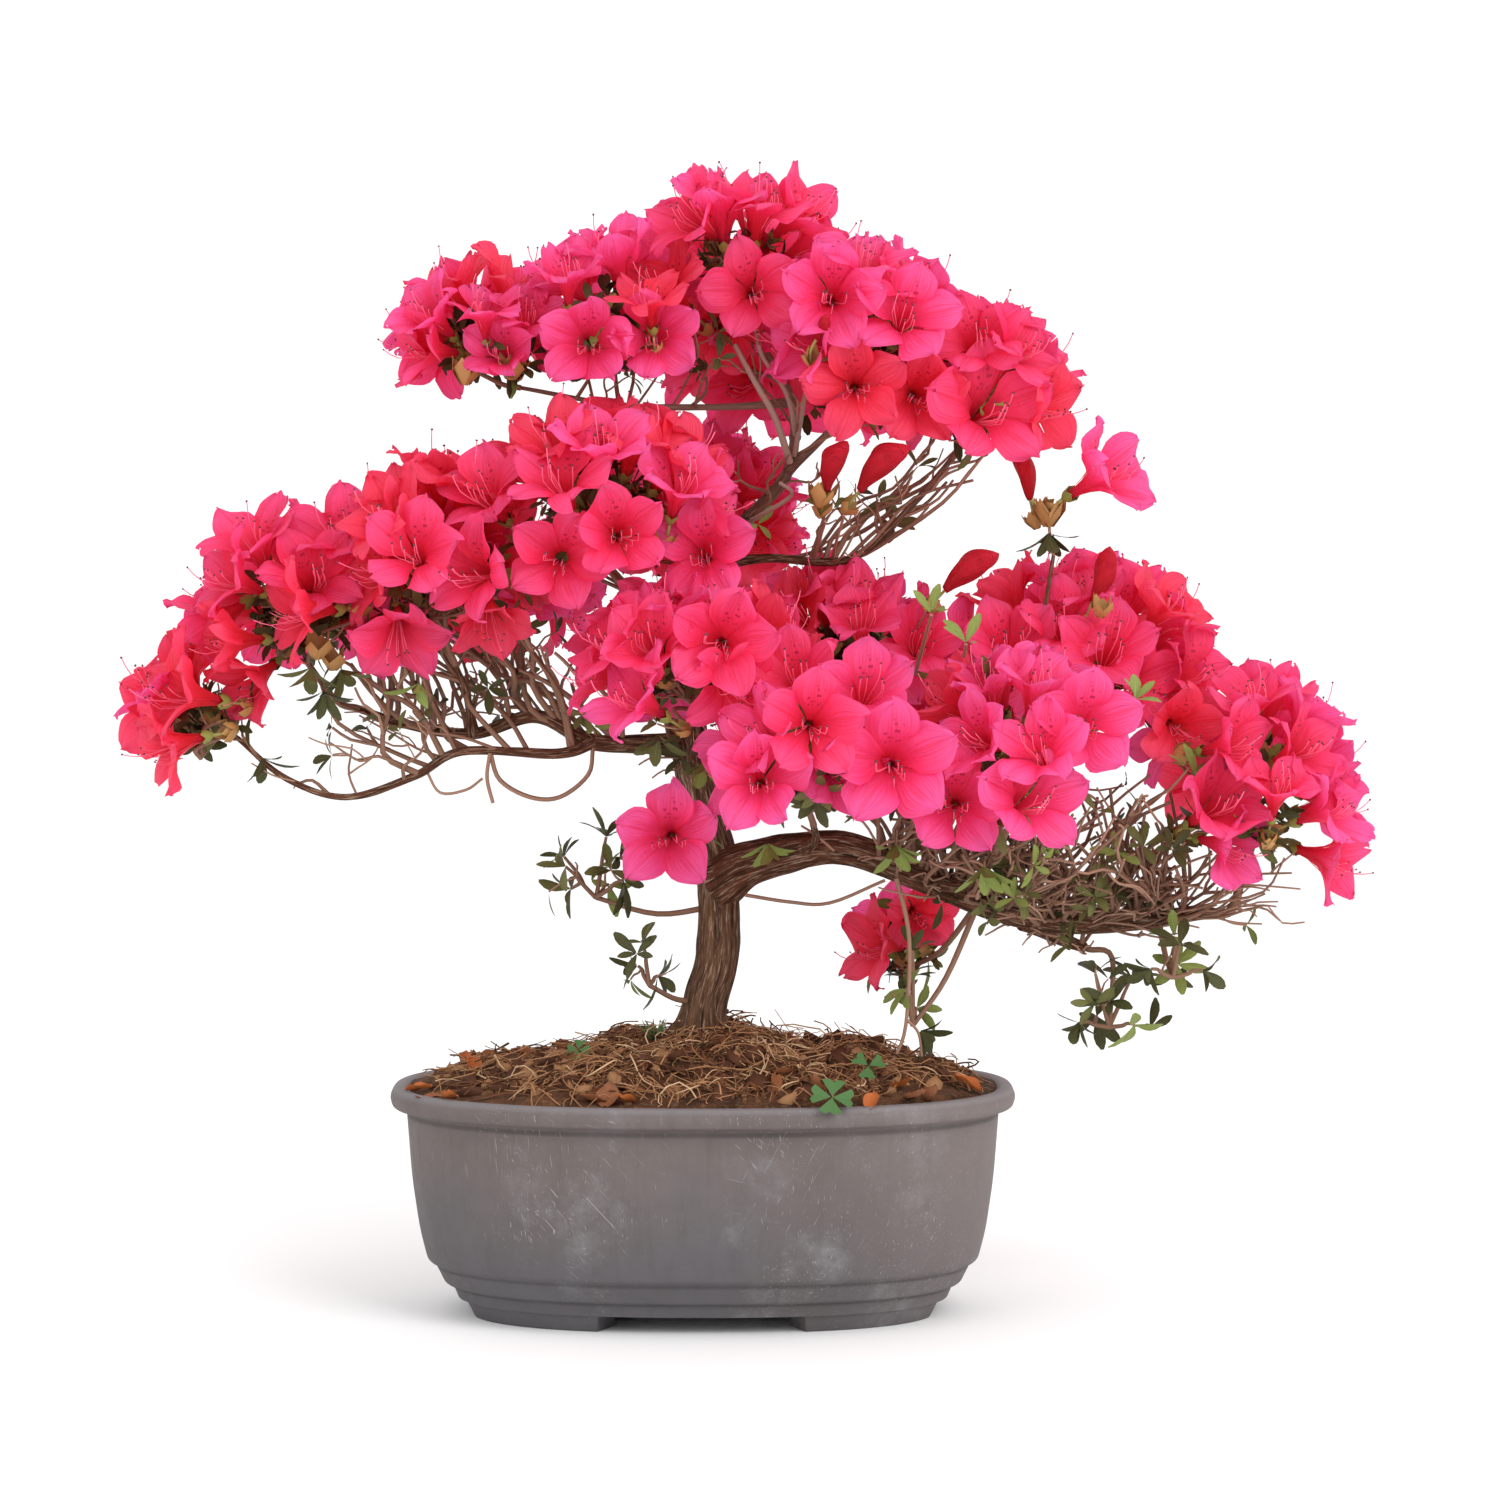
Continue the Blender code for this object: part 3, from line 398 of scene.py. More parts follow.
def facingOut(mesh):
    shape = bmesh.new()
    shape.from_mesh(mesh)
    bmesh.ops.recalc_face_normals(shape, faces=shape.faces)
    shape.to_mesh(mesh)
    shape.free()


def makePot():
    rings = [potRing(inset, height, pot["segments"]) for inset, height in roundedProfile(pot["profile"])]
    points, faces = skinOver(rings)
    made = newObject(meshOf("pot", [point + potCentre for point in points], faces), "clayPot")
    facingOut(made.data)
    for side in (-1, 1):
        drill = bmesh.new()
        bmesh.ops.create_cone(drill, cap_ends=True, segments=32, radius1=pot["drainRadius"],
            radius2=pot["drainRadius"], depth=0.03)
        place = potCentre + Vector((side * pot["drainOffset"], 0, pot["footTop"]))
        bmesh.ops.translate(drill, vec=place, verts=drill.verts)
        tool = newObject(bpy.data.meshes.new("drill"), "drill")
        drill.to_mesh(tool.data)
        drill.free()
        cut = made.modifiers.new("drain", "BOOLEAN")
        cut.operation = "DIFFERENCE"
        cut.solver = "EXACT"
        cut.object = tool
        settle(made)
        bpy.data.objects.remove(tool, do_unlink=True)
    first, last = turnWhere(1, pot["footGapEnd"] / 2), turnWhere(0, pot["footGapFront"] / 2)
    shape = bmesh.new()
    shape.from_mesh(made.data)
    for quarter in ((first, last), (pi - last, pi - first), (pi + first, pi + last),
            (2 * pi - last, 2 * pi - first)):
        points, faces = potFoot(*quarter)
        foot = meshOf("foot", [point + potCentre for point in points], faces)
        facingOut(foot)
        shape.from_mesh(foot)
        bpy.data.meshes.remove(foot)
    shape.to_mesh(made.data)
    shape.free()
    made.data.shade_smooth()
    made.data.set_sharp_from_angle(angle=radians(50))
    made.data.materials.clear()
    made.data.materials.append(clayFinish())
    return made


def clayFinish():
    # worn clay, with painted highlights and painted shade in its colour as well
    material, tree, shader = newFinish("wornClayPaintedLight", 0.72, 0.35)
    place = put(tree, "ShaderNodeTexCoord").outputs["Object"]
    axes = put(tree, "ShaderNodeSeparateXYZ", {0: place}).outputs
    cloud = mottled(tree, place, scale=16.0, low=0.3, high=0.7)
    # painted light: lighter towards the rim and darker towards the foot, broken up by the mottle
    rise = calculate(tree, "ADD", spread(tree, axes["Z"], 0.02, 0.085),
        spread(tree, cloud, 0.0, 1.0, -0.3, 0.3))
    colour = mixColours(tree, spread(tree, rise, 0.1, 0.9), pot["lower"], pot["upper"])
    fine = mottled(tree, place, scale=90.0, low=0.35, high=0.75)
    colour = tinted(tree, fine, colour, pot["dark"], most=0.3)
    run = useGroup(tree, streaks, place, Across=190.0, Along=14.0, Low=0.5, High=0.8)
    colour = tinted(tree, run.outputs["Mask"], colour, pot["dark"], most=0.35)
    # chalky smudges, stronger low down
    smudge = mottled(tree, place, scale=23.0, low=0.53, high=0.76)
    powder = mottled(tree, place, scale=110.0, low=0.36, high=0.64)
    dusty = times(tree, times(tree, smudge, powder), spread(tree, axes["Z"], 0.07, 0.022, 0.5, 1.0))
    colour = tinted(tree, dusty, colour, pot["chalk"], most=0.72)
    stain = mottled(tree, place, scale=9.0, low=0.5, high=0.68)
    colour = tinted(tree, stain, colour, pot["stain"], most=0.45)
    # painted highlight: the right end, which faces the key light, is painted paler
    dry = calculate(tree, "ADD", spread(tree, axes["X"], 0.03, 0.12, 0.0, 0.34), -0.02)
    colour = mixColours(tree, dry, colour, pot["dry"])
    # painted shade: dark bands in the creases of the mouldings and under the rim
    for level, wide, most in pot["creaseShadeBands"]:
        near = calculate(tree, "ABSOLUTE", calculate(tree, "SUBTRACT", axes["Z"], level), 0.0)
        near = spread(tree, near, wide, wide * 0.3, 0.0, most)
        near = times(tree, near, spread(tree, cloud, 0.0, 1.0, 0.5, 1.0))
        colour = mixColours(tree, near, colour, pot["creaseShade"])
    # painted highlight: the top edge of the rim is painted paler, towards the chalk tone
    rimTopHighlight = spread(tree, axes["Z"], 0.0955, 0.0985, 0.0, 0.3)
    colour = mixColours(tree, rimTopHighlight, colour, pot["chalk"])
    for angle, across, along, amount in pot["marks"]:
        marks = useGroup(tree, scratches, place, Angle=angle, Across=across, Along=along, Amount=amount)
        where = mottled(tree, place, scale=15.0 + 6.0 * angle, low=0.5, high=0.62)
        colour = tinted(tree, times(tree, marks.outputs["Mask"], where), colour, pot["scratch"], most=0.5)
    tree.links.new(colour, shader.inputs["Base Color"])
    tree.links.new(spread(tree, cloud, 0.0, 1.0, 0.62, 0.8), shader.inputs["Roughness"])
    addBump(tree, shader, fine, 0.0003, 0.5)
    return material


clayPot = makePot()
print("pot made")


# the earth in the pot and the tints of what lies on it
earth = {
    "edge": 0.093, "shelf": 0.0975, "top": 0.1166, "lumps": 0.0026, "clods": 0.0062, "heap": 0.004,
    "segments": 128, "rings": 44, "edgeInset": 0.0088, "clodScale": 34, "heapPlace": (0.002, -0.006),
    "heapSpread": 0.0012, "wall": ((0.011, 0.086), (0.015, 0.042), (0.024, 0.0164), (0.03, 0.0114)),
    "dark": (0.024, 0.011, 0.006), "brown": (0.16, 0.07, 0.033), "pale": (0.34, 0.185, 0.095),
    "fibreTint": (0.4, 0.205, 0.098), "strawTint": (0.64, 0.43, 0.25), "rootTint": (0.14, 0.06, 0.03),
    "chipTint": (0.085, 0.034, 0.018), "clumpTint": (0.28, 0.144, 0.068), "crumbTint": (0.125, 0.058, 0.028),
    "dryTint": (0.42, 0.12, 0.03), "crispTint": (0.23, 0.085, 0.035), "paleTint": (0.48, 0.33, 0.2),
}


def earthHeight(x, y, share, turn):
    rise = earth["shelf"] + (earth["top"] - earth["shelf"]) * (1 - share ** 1.6)
    rise += earth["lumps"] * share * sin(3 * turn + 0.7) * cos(5 * turn + 7 * share)
    clod = noise.fractal(Vector((x * earth["clodScale"], y * earth["clodScale"], 3.0)), 0.9, 2.1, 6)
    aside, back = earth["heapPlace"]
    rise += earth["heap"] * exp(-((x - aside) ** 2 + (y - back) ** 2) / earth["heapSpread"])
    return rise + earth["clods"] * clod * min(1.0, 2.6 * (1.02 - share))


def earthShare(x, y):
    # how far out towards the rim a place is, and its turn round the outline
    turn = atan2(copysign(abs(y / (pot["depth"] / 2)) ** (pot["squareness"] / 2), y),
        copysign(abs(x / (pot["width"] / 2)) ** (pot["squareness"] / 2), x))
    rim = outline(earth["edgeInset"], 0, turn)
    return hypot(x, y) / max(0.001, hypot(rim.x, rim.y)), turn


def makeEarth():
    count = earth["segments"]
    rings = [potRing(inset + 0.0004, height, count) for inset, height in reversed(earth["wall"])]
    rings.append(potRing(earth["edgeInset"] + 0.0002, earth["edge"], count))
    edge = potRing(earth["edgeInset"], 0.0, count)
    for level in range(earth["rings"]):
        share = 1 - level / earth["rings"]
        ring = []
        for step, point in enumerate(edge):
            turn = 2 * pi * step / count
            x, y = point.x * share, point.y * share
            ring.append(Vector((x, y, earthHeight(x, y, share, turn))))
        rings.append(ring)
    points, faces = skinOver(rings, caps=False)
    faces.append(tuple(range(count - 1, -1, -1)))
    points.append(Vector((0, 0, earth["top"])))
    last = len(points) - 1
    start = last - count
    faces += [(start + step, start + (step + 1) % count, last) for step in range(count)]
    mesh = meshOf("earth", [point + potCentre for point in points], faces)
    # fibres keep off the rim: 1 well inside the pot and 0 at its edge
    inner = [max(0.0, min(1.0, (0.94 - earthShare(point.x, point.y)[0]) / 0.09)) for point in points]
    mesh.attributes.new("inner", "FLOAT", "POINT").data.foreach_set("value", np.array(inner, np.float32))
    mesh.materials.append(earthFinish())
    return newObject(mesh, "earth")


def earthFinish():
    material, tree, shader = newFinish("darkEarth", 0.95, 0.2)
    place = put(tree, "ShaderNodeTexCoord").outputs["Object"]
    clods = mottled(tree, place, scale=60.0, low=0.35, high=0.7)
    bits = mottled(tree, place, scale=330.0, low=0.5, high=0.72)
    colour = mixColours(tree, clods, earth["dark"], earth["brown"])
    tree.links.new(tinted(tree, bits, colour, earth["pale"], most=0.7), shader.inputs["Base Color"])
    addBump(tree, shader, bits, 0.0012)
    return material


def sidesAlong(path):
    # along the path: number, point and two directions square to it, which turn as little as they can
    side = None
    for index, point in enumerate(path):
        ahead = (path[min(index + 1, len(path) - 1)] - path[max(index - 1, 0)]).normalized()
        side = ahead.orthogonal() if side is None else side - ahead * side.dot(ahead)
        side.normalize()
        yield index, point, side, ahead.cross(side)


def thinTube(path, radius, sides=3, tip=0.6):
    # a plain round strand along the path
    rings = []
    turns = [2 * pi * step / sides for step in range(sides)]
    for index, point, side, other in sidesAlong(path):
        thick = radius * (1 + (tip - 1) * index / (len(path) - 1))
        rings.append([point + (side * cos(turn) + other * sin(turn)) * thick for turn in turns])
    return skinOver(rings)


def joined(parts):
    points, faces = [], []
    for partPoints, partFaces in parts:
        start = len(points)
        points += partPoints
        faces += [tuple(corner + start for corner in face) for face in partFaces]
    return points, faces


def curlyFibre(rng, length, radius, curl):
    # wanders over the ground, in the plane of its own X and Y
    heading = rng.uniform(0, 2 * pi)
    spot = Vector((0, 0, 0))
    path = []
    bend = rng.uniform(-curl, curl)
    arch = rng.uniform(0.0, 0.16) * length
    for step in range(8):
        lift = arch * sin(pi * step / 7) + 0.0012 * sin(step * 0.9 + heading) + 0.0006
        path.append(spot + Vector((0, 0, lift)))
        bend += rng.uniform(-0.25, 0.25)
        heading += bend
        spot = spot + Vector((cos(heading), sin(heading), 0)) * length / 7
    middle = path[3].copy()
    return thinTube([point - Vector((middle.x, middle.y, 0)) for point in path], radius)


def crispPetal(rng, length, width):
    # a dry petal or leaf, curled up along and across
    points, faces = [], []
    curl, roll = rng.uniform(0.8, 1.9), rng.uniform(0.6, 1.5)
    rows, columns = 6, 4
    for row in range(rows + 1):
        share = row / rows
        half = width / 2 * max(0.06, sin(pi * (0.06 + 0.92 * share))) ** 0.7
        lean = curl * (share - 0.4)
        along = length * (share - 0.5)
        for column in range(columns + 1):
            v = 2 * column / columns - 1
            crinkle = 0.0006 * sin(9 * share + 4 * v + curl * 5)
            points.append(Vector((half * sin(roll * v) / roll * 1.2, along * cos(lean * 0.5),
                length * 0.2 * lean * lean + half * (1 - cos(roll * v)) + crinkle)))
    for row in range(rows):
        for column in range(columns):
            low = row * (columns + 1) + column
            faces.append((low, low + 1, low + columns + 2, low + columns + 1))
    return points, faces


def roughLump(rng, size, flat):
    shape = bmesh.new()
    bmesh.ops.create_icosphere(shape, subdivisions=1, radius=size / 2)
    for vertex in shape.verts:
        vertex.co *= rng.uniform(0.7, 1.25)
        vertex.co.z *= flat
        vertex.co.x *= 1.3
    points = [vertex.co.copy() for vertex in shape.verts]
    faces = [tuple(vertex.index for vertex in face.verts) for face in shape.faces]
    shape.free()
    return points, faces


def shapeSet(name, shapes):
    # originals that a tree picks from; shapes are (points, faces) or (points, faces, uv)
    collection = bpy.data.collections.new(name)
    bpy.context.scene.collection.children.link(collection)
    for index, shape in enumerate(shapes):
        collection.objects.link(bpy.data.objects.new(f"{name}{index:02d}", meshOf(name, *shape)))
    return collection


def dropSet(collection):
    for obj in list(collection.objects):
        bpy.data.objects.remove(obj, do_unlink=True)
    bpy.data.collections.remove(collection)


def paintReal(tree, geometry, given, result):
    # instances become real faces with the given finish
    real = put(tree, "GeometryNodeRealizeInstances", {0: geometry})
    paint = put(tree, "GeometryNodeSetMaterial", {"Geometry": real.outputs[0], "Material": given["Finish"]})
    tree.links.new(paint.outputs[0], result[0])


def placeShapes(tree, given, result, points, pick, turn, size):
    # one shape of the set on each point
    shapes = put(tree, "GeometryNodeCollectionInfo", {
        "Collection": given["Shapes"], "Separate Children": True, "Reset Children": True})
    placed = put(tree, "GeometryNodeInstanceOnPoints", {
        "Points": points, "Instance": shapes.outputs[0], "Pick Instance": True, "Instance Index": pick,
        "Rotation": turn, "Scale": size})
    paintReal(tree, placed.outputs[0], given, result)


def strewTree():
    # strews shapes over the upward faces of a ground, thicker near the trunk
    tree, given, result = newGroup("strewOnGround", "GeometryNodeTree", (
        ("Ground", "Geometry", None), ("Shapes", "Collection", None), ("Density", "Float", 1000.0),
        ("Near Trunk", "Float", 0.0), ("Trunk", "Vector", None), ("Patches", "Float", 0.6),
        ("Least Size", "Float", 0.7), ("Most Size", "Float", 1.3), ("Tilt", "Float", 0.3),
        ("Kinds", "Int", 1), ("Seed", "Int", 1), ("Finish", "Material", None)), (("Result", "Geometry"),))
    seed, tilt = given["Seed"], given["Tilt"]
    faceWay = put(tree, "ShaderNodeSeparateXYZ", {0: put(tree, "GeometryNodeInputNormal").outputs[0]})
    upward = put(tree, "FunctionNodeCompare", {0: faceWay.outputs["Z"], 1: 0.3}, data_type="FLOAT",
        operation="GREATER_THAN")
    far = put(tree, "ShaderNodeVectorMath", {
        0: put(tree, "GeometryNodeInputPosition").outputs[0], 1: given["Trunk"]}, operation="DISTANCE")
    near = spread(tree, far.outputs["Value"], 0.012, 0.055, 1.0, 0.0)
    extra = put(tree, "ShaderNodeMath", {0: near, 1: given["Near Trunk"], 2: given["Density"]},
        operation="MULTIPLY_ADD")
    # patches: some of the ground has many of a kind and some has few
    patch = put(tree, "ShaderNodeTexNoise", {"Scale": 38.0, "Detail": 2.0, "W": seed}, noise_dimensions="4D")
    full = spread(tree, patch.outputs[0], 0.44, 0.6, calculate(tree, "SUBTRACT", 1.0, given["Patches"]))
    inner = put(tree, "GeometryNodeInputNamedAttribute", {"Name": "inner"}, data_type="FLOAT")
    wanted = times(tree, extra.outputs[0], times(tree, full, inner.outputs[0]))
    points = put(tree, "GeometryNodeDistributePointsOnFaces", {
        "Mesh": given["Ground"], "Selection": upward.outputs[0], "Density": wanted, "Seed": seed},
        distribute_method="RANDOM")
    # each shape is tilted a little and turned round at random
    back = times(tree, tilt, -1.0)
    low = put(tree, "ShaderNodeCombineXYZ", {"X": back, "Y": back, "Z": 0.0})
    high = put(tree, "ShaderNodeCombineXYZ", {"X": tilt, "Y": tilt, "Z": 2 * pi})
    lean = put(tree, "FunctionNodeRandomValue", {0: low.outputs[0], 1: high.outputs[0], "Seed": seed},
        data_type="FLOAT_VECTOR")
    asTurn = put(tree, "FunctionNodeEulerToRotation", {0: lean.outputs[0]})
    turned = put(tree, "FunctionNodeRotateRotation", {0: points.outputs["Rotation"], 1: asTurn.outputs[0]},
        rotation_space="LOCAL")
    size = put(tree, "FunctionNodeRandomValue", {2: given["Least Size"], 3: given["Most Size"]},
        data_type="FLOAT")
    pick = put(tree, "FunctionNodeRandomValue", {4: 0, 5: given["Kinds"], "Seed": seed}, data_type="INT")
    placeShapes(tree, given, result, points.outputs["Points"], pick.outputs[2], turned.outputs[0],
        size.outputs[1])
    return tree


strewOnGround = strewTree()


def strew(name, ground, shapes, tint, density, nearTrunk, patches, sizes, tilt, seed):
    collection = shapeSet(name + "Shape", shapes)
    made = newObject(ground.data.copy(), name)
    addModifier(made, strewOnGround, **{
        "Shapes": collection, "Density": density, "Near Trunk": nearTrunk, "Patches": patches,
        "Least Size": sizes[0], "Most Size": sizes[1], "Tilt": tilt, "Kinds": len(shapes) - 1, "Seed": seed,
        "Finish": plainFinish(name, earth[tint], 0.85, 0.15),
        "Trunk": tuple(potCentre + Vector((0.004, -0.01, earth["top"])))})
    settle(made)
    dropSet(collection)
    return made


# what lies on the earth
scraps = {
    # fibres, straws and roots: least and most length, radius, curl, how many kinds
    "strands": ((0.012, 0.03, 0.0003, 0.55, 14), (0.018, 0.036, 0.00038, 0.4, 12),
                (0.016, 0.04, 0.00055, 0.5, 8)),
    # crumbs, clumps and bark chips: size, flatness, how many kinds
    "lumps": ((0.0026, 0.8, 6), (0.0062, 0.75, 8), (0.0085, 0.28, 8)),
    # fallen petals and those at the rim: lengths, widths, how many kinds
    "crisp": ((0.01, 0.017), (0.006, 0.009), 8), "dry": ((0.012, 0.018), (0.007, 0.01), 5),
}


def petalSet(rng, lengths, widths, count):
    return [crispPetal(rng, rng.uniform(*lengths), rng.uniform(*widths)) for _ in range(count)]


def strewAll(ground):
    rng = random.Random(11)
    fibre, straw, root = [
        [curlyFibre(rng, rng.uniform(least, most), radius, curl) for _ in range(count)]
        for least, most, radius, curl, count in scraps["strands"]]
    crumb, clump, chip = [
        [roughLump(rng, size, flat) for _ in range(count)] for size, flat, count in scraps["lumps"]]
    crisp = petalSet(rng, *scraps["crisp"])
    # name, shapes, tint, how many on a square metre, extra near the trunk, patches, sizes, tilt, seed
    plans = (
        ("brownFibres", fibre, "fibreTint", 62000.0, 40000.0, 0.8, (0.6, 1.3), 0.5, 3),
        ("paleStraw", straw, "strawTint", 5500.0, 26000.0, 0.65, (0.6, 1.2), 0.45, 5),
        ("darkRoots", root, "rootTint", 16000.0, 12000.0, 0.7, (0.6, 1.2), 0.45, 7),
        ("earthCrumbs", crumb, "crumbTint", 60000.0, 0.0, 0.7, (0.4, 1.7), 1.5, 9),
        ("paleClumps", clump, "clumpTint", 12000.0, 0.0, 0.95, (0.4, 1.5), 1.5, 21),
        ("barkChips", chip, "chipTint", 8000.0, 0.0, 0.8, (0.4, 1.7), 0.9, 13),
        ("crispPetals", crisp, "crispTint", 1600.0, 0.0, 0.9, (0.6, 1.3), 1.0, 17),
        ("stones", crumb, "paleTint", 2600.0, 0.0, 0.8, (0.5, 1.3), 1.5, 23),
    )
    return [strew(name, ground, *plan) for name, *plan in plans]


# dry petals seen at the rim, x and y from the pot's middle
driedPlaces = ((-0.1209, -0.03), (-0.115, -0.048), (-0.106, -0.058), (-0.0387, -0.076), (-0.031, -0.081),
    (-0.045, -0.079), (0.0709, -0.081), (0.0962, -0.07), (0.083, -0.062), (0.089, -0.074),
    (-0.098, -0.02), (0.048, -0.07), (0.112, -0.04), (-0.062, 0.07), (0.035, 0.076),
    (0.09, 0.06), (-0.105, 0.04), (0.005, 0.05))


def layDryPetals():
    rng = random.Random(31)
    shapes = petalSet(rng, *scraps["dry"])
    made = []
    for tint, places in (("dryTint", driedPlaces[::2]), ("crispTint", driedPlaces[1::2])):
        parts = []
        for x, y in places:
            points, faces = rng.choice(shapes)
            share, turn = earthShare(x, y)
            rest = Vector((x, y, earthHeight(x, y, share, turn) + 0.0022)) + potCentre
            turned = Matrix.Rotation(rng.uniform(0, 2 * pi), 3, "Z")
            lean = turned @ Matrix.Rotation(rng.uniform(-0.8, 0.8), 3, "X")
            parts.append(([lean @ point + rest for point in points], faces))
        made.append(newObject(meshOf(tint + "Petals", *joined(parts)), tint + "Petals"))
        made[-1].data.materials.append(plainFinish(tint, earth[tint], 0.6, 0.3))
    return made


def heartLeaflet(place, normal, way, length):
    # a clover leaflet: a heart with its point at the stalk, folded a little along its middle
    side = way.cross(normal)
    points, faces = [place], []
    for step in range(13):
        angle = -0.6 + 1.2 * step / 12
        reach = length * (1 - 0.2 * exp(-(angle / 0.16) ** 2)) * cos(angle * 0.85) ** 0.3
        points.append(place + way * (reach * cos(angle)) + side * (reach * sin(angle))
            + normal * abs(angle) * length * 0.12)
    faces += [(0, step, step + 1) for step in range(1, 13)]
    return points, faces


weeds = {
    # clovers: place, length of a leaflet and how many
    "clovers": ((0.0541, -0.09, 0.103, 0.009, 4), (-0.0529, -0.03, 0.116, 0.005, 4),
                (0.07, -0.055, 0.112, 0.007, 3)),
    "cloverStalk": 0.0004, "tuft": Vector((-0.0206, -0.01, 0.117)), "blades": 11, "blade": 0.0008,
    "cloverLeaves": (0.062, 0.15, 0.045), "weedStalks": (0.08, 0.14, 0.045),
}


def plantWeeds():
    rng = random.Random(37)
    leaflets, stalks = [], []
    for x, y, z, size, count in weeds["clovers"]:
        top = Vector((x, y, z)) + potCentre
        normal = Vector((rng.uniform(-0.2, 0.2), -0.72, 0.66)).normalized()
        across = normal.orthogonal().normalized()
        for number in range(count):
            way = across.copy()
            way.rotate(Matrix.Rotation(2 * pi * number / count + 0.5, 3, normal))
            leaflets.append(heartLeaflet(top + way * 0.0004, normal, way, size))
        root = top + Vector((0.004, 0.01, -0.01))
        middle = top + Vector((0.003, 0.005, -0.003))
        path = smoothPath([root, middle, top - normal * 0.0004], 3)
        stalks.append(thinTube(path, weeds["cloverStalk"], 5))
    for number in range(weeds["blades"]):
        turn = 2 * pi * number / weeds["blades"]
        foot = weeds["tuft"] + potCentre
        out = Vector((cos(turn), sin(turn), rng.uniform(0.9, 2.2))).normalized()
        stalks.append(thinTube([foot, foot + out * 0.006, foot + out * 0.011], weeds["blade"], 4, 0.2))
    made = []
    for name, parts in (("cloverLeaves", leaflets), ("weedStalks", stalks)):
        made.append(newObject(meshOf(name, *joined(parts)), name))
        made[-1].data.materials.append(plainFinish(name, weeds[name], 0.6, 0.3))
    return made


earthMound = makeEarth()
litter = strewAll(earthMound) + layDryPetals() + plantWeeds()
print("earth made")


